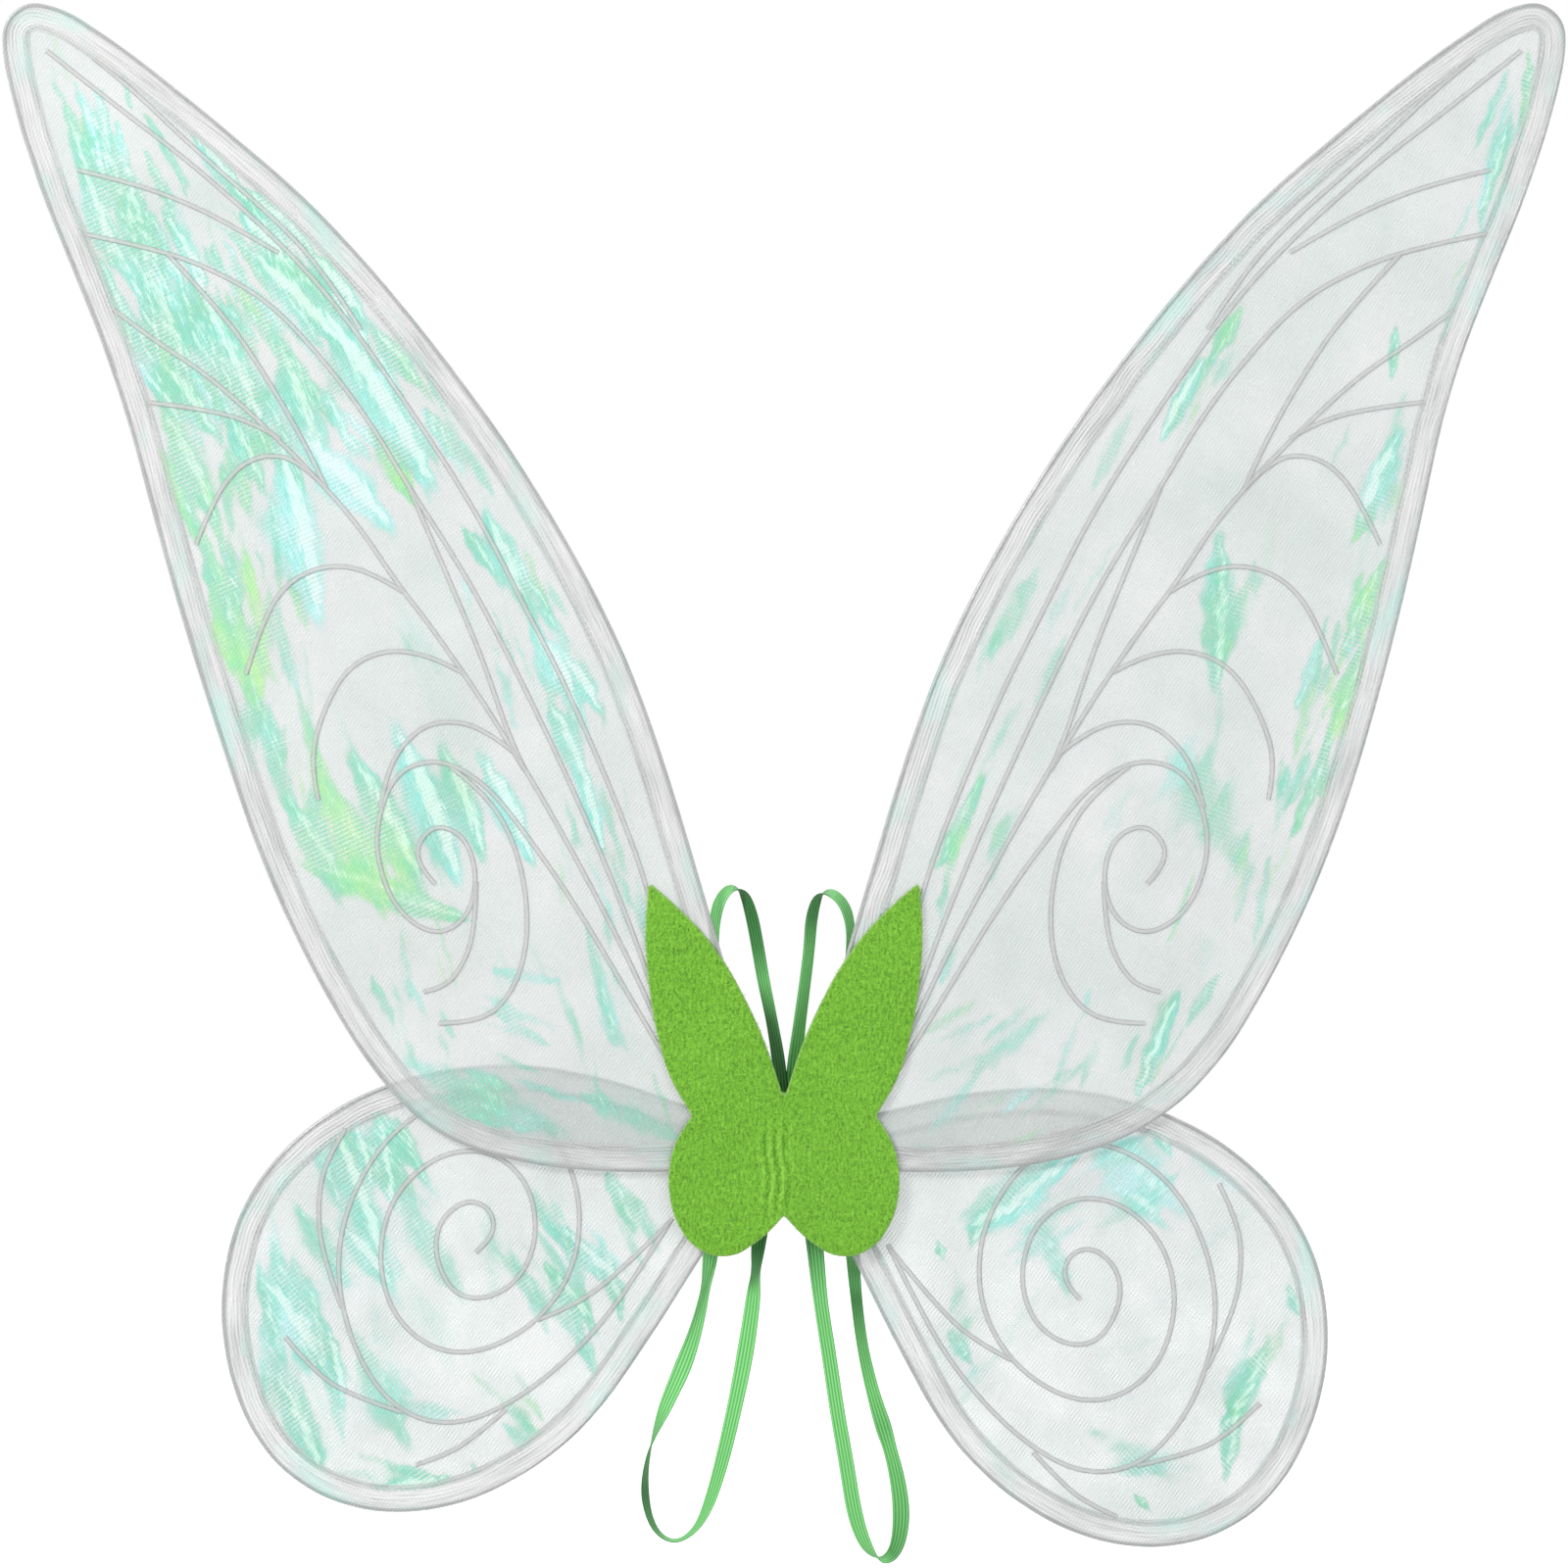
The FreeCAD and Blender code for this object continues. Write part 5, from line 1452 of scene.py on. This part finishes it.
def build_wing(side, layer, body, seed, flat, area):
    prefix = f"{side}_{layer}"
    low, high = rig.box(prefix + "_film")
    depth = (low.y + high.y) / 2
    root = np.array([ROOT_X if side == "right" else -ROOT_X, ROOT_Z])
    outer, hem_inner = wing_outlines(prefix, root)
    hem = hem_binding(prefix, outer, hem_inner, depth, seed)
    rim = moved_out(smoothed(evenly(hem_inner, CLOTH_STEP), 1), TUCK)

    points, corners = triangulated(rim, CLOTH_STEP)
    wave = BILLOW * billow(points[:, 0], points[:, 1])
    sheets = []
    for name, shift, to_front, finish in (("front_cloth", -LAYER_SPACE, True, front_voile),
                                          ("back_cloth", LAYER_SPACE, False, back_voile)):
        placed = np.stack([points[:, 0], depth + wave + shift, points[:, 1]], axis=1)
        sheet = mesh_object(f"{prefix}_sheer_{name}", placed, facing(points, corners, to_front), finish)
        sheets.append((sheet, f"{prefix}_{name}", "sheer_cloth"))

    rim = moved_out(smoothed(evenly(hem_inner, FILM_STEP), 1), TUCK)
    points, corners = triangulated(rim, FILM_STEP)
    x, z = points.T
    leaning = math.radians(20 if side == "right" else 160)
    small = ripples(seed + 5, 10, 0.007, 0.018, leaning, 1.6)
    shake_x = 0.5 * MM * small(z, x)
    shake_z = 0.5 * MM * small(x, z)
    strength, lean, crest = glints(x + shake_x, z + shake_z, STREAKS[prefix] + strewn(CRUMPLED[prefix], seed))
    creased = (1 - 2 * np.abs(small(x, z)) / 1.4) * (0.35 + 0.65 * strength)
    height = BILLOW * billow(x, z) + CREASE * np.clip(creased, -1, 1)
    placed = np.stack([x, depth + height, z], axis=1)
    film_sheet = mesh_object(f"{prefix}_crinkled_film", placed, facing(points, corners, True), film)
    stored(film_sheet, "glint", strength)
    stored(film_sheet, "lean", lean)
    stored(film_sheet, "crest", crest)
    run = np.array([math.sin(math.radians(FAN[prefix])), -math.cos(math.radians(FAN[prefix]))])
    unwrapped(film_sheet, "creases", (x * run[0] + z * run[1]) / MM, (x * run[1] - z * run[0]) / MM)
    sheets.insert(1, (film_sheet, f"{prefix}_film", "iridescent_film"))

    routes = UPPER_VEINS if layer == "upper" else LOWER_VEINS
    lines = []
    for name, route in routes.items():
        control = [(x * MM, 0.0, z * MM) for x, z in on_wing(route, side, layer)]
        line = respaced(route_line(name, control), 1.8 * MM)
        lines.append(line[inside(line[:, [0, 2]], rim)])
    veins = grown(f"{prefix}_vein_cording", lines_object("vein_routes", lines), vein_tree,
                  {"Width": VEIN_WIDTH, "Height": VEIN_HEIGHT, "Material": vein_cloth})
    for vertex in veins.data.vertices:
        vertex.co.y += depth - LAYER_SPACE + BILLOW * float(billow(vertex.co.x, vertex.co.z))

    seam_lines = []
    inner = smoothed(hem_inner[nearest(outer, hem_inner)[0]], 2)
    for inset in SEAM_INSETS:
        flat_line = outer + (inner - outer) * inset / HEM_WIDTH
        seam_lines.append([(px, depth - SEAM_HEIGHT, pz) for px, pz in flat_line])
    stitches = grown(f"{prefix}_hem_stitching", lines_object("hem_seams", seam_lines, closed=True),
                     stitch_row,
                     {"Pitch": 0.0031, "Stitch length": 0.0023, "Thread": 0.00032, "Material": pale_thread})

    dressed = sheets + [(hem, f"{prefix}_hem", "hem_binding"), (veins, f"{prefix}_veins", "vein_cord")]
    for piece, node, slot_name in dressed:
        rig.ride(piece, body)
        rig.replaces(piece, node)
        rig.slot(piece, slot_name)
    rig.ride(stitches, body)
    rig.slot(stitches, "hem_binding")
    for piece, node, _ in sheets:
        extra = [hem, veins, stitches] if "front" in node else []
        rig.sheet(piece, flat=flat, held="stretched", rests_on=[f"{prefix}_wire_frame"], area=area,
                 with_pieces=extra)
    print(prefix, "hem", len(hem.data.polygons), "film", len(film_sheet.data.polygons), "veins",
          len(veins.data.polygons), "stitches", len(stitches.data.polygons))


UPPER_FLAT = (0.378, 0.587)
LOWER_FLAT = (0.257, 0.226)
build_wing("left", "upper", "left_half", 20, UPPER_FLAT, 0.0981)
build_wing("right", "upper", "right_half", 40, UPPER_FLAT, 0.1009)
build_wing("left", "lower", "left_lower_wing", 60, LOWER_FLAT, 0.0408)
build_wing("right", "lower", "right_lower_wing", 80, LOWER_FLAT, 0.0408)

# %% [markdown]
# ## The felt butterfly
# Two covers of lime felt, one in front and one behind, hide the wing roots. Felt has no threads: it is matted
# wool, soft at its cut edge, with a nap of loose fibres. Each cover crosses both folds, so it is made
# as two halves that meet on the centre line, and each half bends smoothly from the centre to its own side.
# The front cover is gathered a little at the waist, where it was stitched through.

# %% Felt halves
FELT_THICK = 1.2 * MM
FELT_STEP = 1.7 * MM
FOLD_START = 3.0 * MM
FOLD_END = 11.0 * MM
FELT_FLAT = (0.0706, 0.1892)
FELT_AREA = 0.0085
PLEAT_DEPTH = 0.8 * MM


def waist_pleats(x, z):
    """Shallow upright gathers at the waist of the front cover."""
    upright = np.exp(-((z + 6 * MM) / (24 * MM)) ** 4)
    beside = np.exp(-((x + 4.5 * MM) / (8.5 * MM)) ** 4)
    bend = x + 0.9 * MM * np.sin(z / (9 * MM)) + 0.5 * MM * np.sin(z / (4.1 * MM) + 1)
    return PLEAT_DEPTH * upright * beside * (np.sin(2 * math.pi * bend / (5.2 * MM)) - 0.25)


def felt_half(node, side, seed, pleated):
    """One half of a felt cover, with a rounded cut edge, as a closed soft slab."""
    loop = anticlockwise(flat_loops(node)[0][2])
    sign = 1 if side == "right" else -1
    whole = evenly(loop, 0.8 * MM)
    half = whole[sign * whole[:, 0] > 0.35 * MM]
    start = np.argmax(np.linalg.norm(half - np.roll(half, 1, axis=0), axis=1))
    half = np.roll(half, -start, axis=0)
    top_z, bottom_z = sorted((half[0][1], half[-1][1]), reverse=True)
    down = np.arange(top_z, bottom_z, -FELT_STEP)
    centre_line = np.stack([np.zeros(len(down)), down], axis=1)
    centre_line = centre_line if half[-1][1] > half[0][1] else centre_line[::-1]
    outline = np.vstack([half, centre_line])
    rings = [moved_out(smoothed(half, 1), -distance * MM)[2:-2] for distance in (0.3, 0.7, 1.3)]
    points, corners = triangulated(outline, FELT_STEP, rings)
    x, z = points.T
    edge = nearest(points, whole)[1]
    soft = np.clip(edge / (0.9 * MM), 0, 1)
    half_thick = FELT_THICK / 2 * np.sqrt(1 - (1 - soft) ** 2 * 0.96)
    uneven = 0.07 * MM * ripples(seed, 9, 0.006, 0.016)(x, z)
    low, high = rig.box(node)
    pleats = waist_pleats(x, z) if pleated else np.zeros_like(x)
    middle = (low.y + high.y) / 2 + uneven + pleats
    front = np.stack([x, middle - half_thick, z], axis=1)
    back = np.stack([x, middle + half_thick, z], axis=1)
    count = len(points)
    faces = [tuple(face) for face in facing(points, corners, True)]
    faces_back = [tuple(index + count for index in face[::-1]) for face in faces]
    uses = {}
    for face in faces:
        for a, b in zip(face, face[1:] + face[:1]):
            uses[(a, b)] = True
    rim = [(a, b) for a, b in uses if (b, a) not in uses]
    walls = [(b, a, a + count, b + count) for a, b in rim]
    cover = mesh_object(f"{side}_{node}_cover", np.vstack([front, back]), faces + faces_back + walls,
                        felt_wool)
    at_centre = np.tile(np.abs(x) < 1e-6, 2)
    sharp = cover.data.attributes.new("sharp_edge", "BOOLEAN", "EDGE")
    sharp.data.foreach_set("value", [bool(at_centre[a] and at_centre[b]) for a, b in cover.data.edge_keys])
    # the pleats' painted shade and light, for the felt's colour
    stored(cover, "pleat_shade", np.tile(-0.42 * pleats / PLEAT_DEPTH, 2))
    stored(cover, "cut_edge", np.tile(0.75 * np.exp(-(edge / (0.45 * MM)) ** 2), 2))
    return cover


for node, pleated, density, seed in (("front_felt", True, 1000000.0, 91), ("back_felt", False, 600000.0, 95)):
    for side in ("left", "right"):
        sign = 1 if side == "right" else -1
        cover = felt_half(node, side, seed, pleated)
        nap_source = cover.copy()
        nap_source.data = cover.data.copy()
        linked(nap_source)
        nap = grown(f"{side}_{node}_nap", nap_source, fibre_tree,
                    {"Density": density / 2, "Length": 1.5 * MM, "Thickness": 0.05 * MM, "Seed": seed,
                     "Material": fibre_wool})
        for piece in (cover, nap):
            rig.blend(piece, "centre", f"{side}_half", start=(sign * FOLD_START, 0, 0),
                     end=(sign * FOLD_END, 0, 0))
            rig.slot(piece, "lime_felt")
        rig.replaces(cover, node)
        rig.sheet(cover, flat=FELT_FLAT, held="laid", rests_on=["centre_tape"], area=FELT_AREA,
                 with_pieces=[nap])
        print(side, node, len(cover.data.polygons), "faces,", len(nap.data.polygons), "fibre faces")

# %% Sizes kept
seen_low, seen_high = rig.bounds()
with open("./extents.json", "w") as size_file:
    json.dump({"cad": [list(cad_low), list(cad_high)], "visual": [list(seen_low), list(seen_high)]},
              size_file)
print("visual box", [round(v, 4) for v in (*seen_low, *seen_high)])
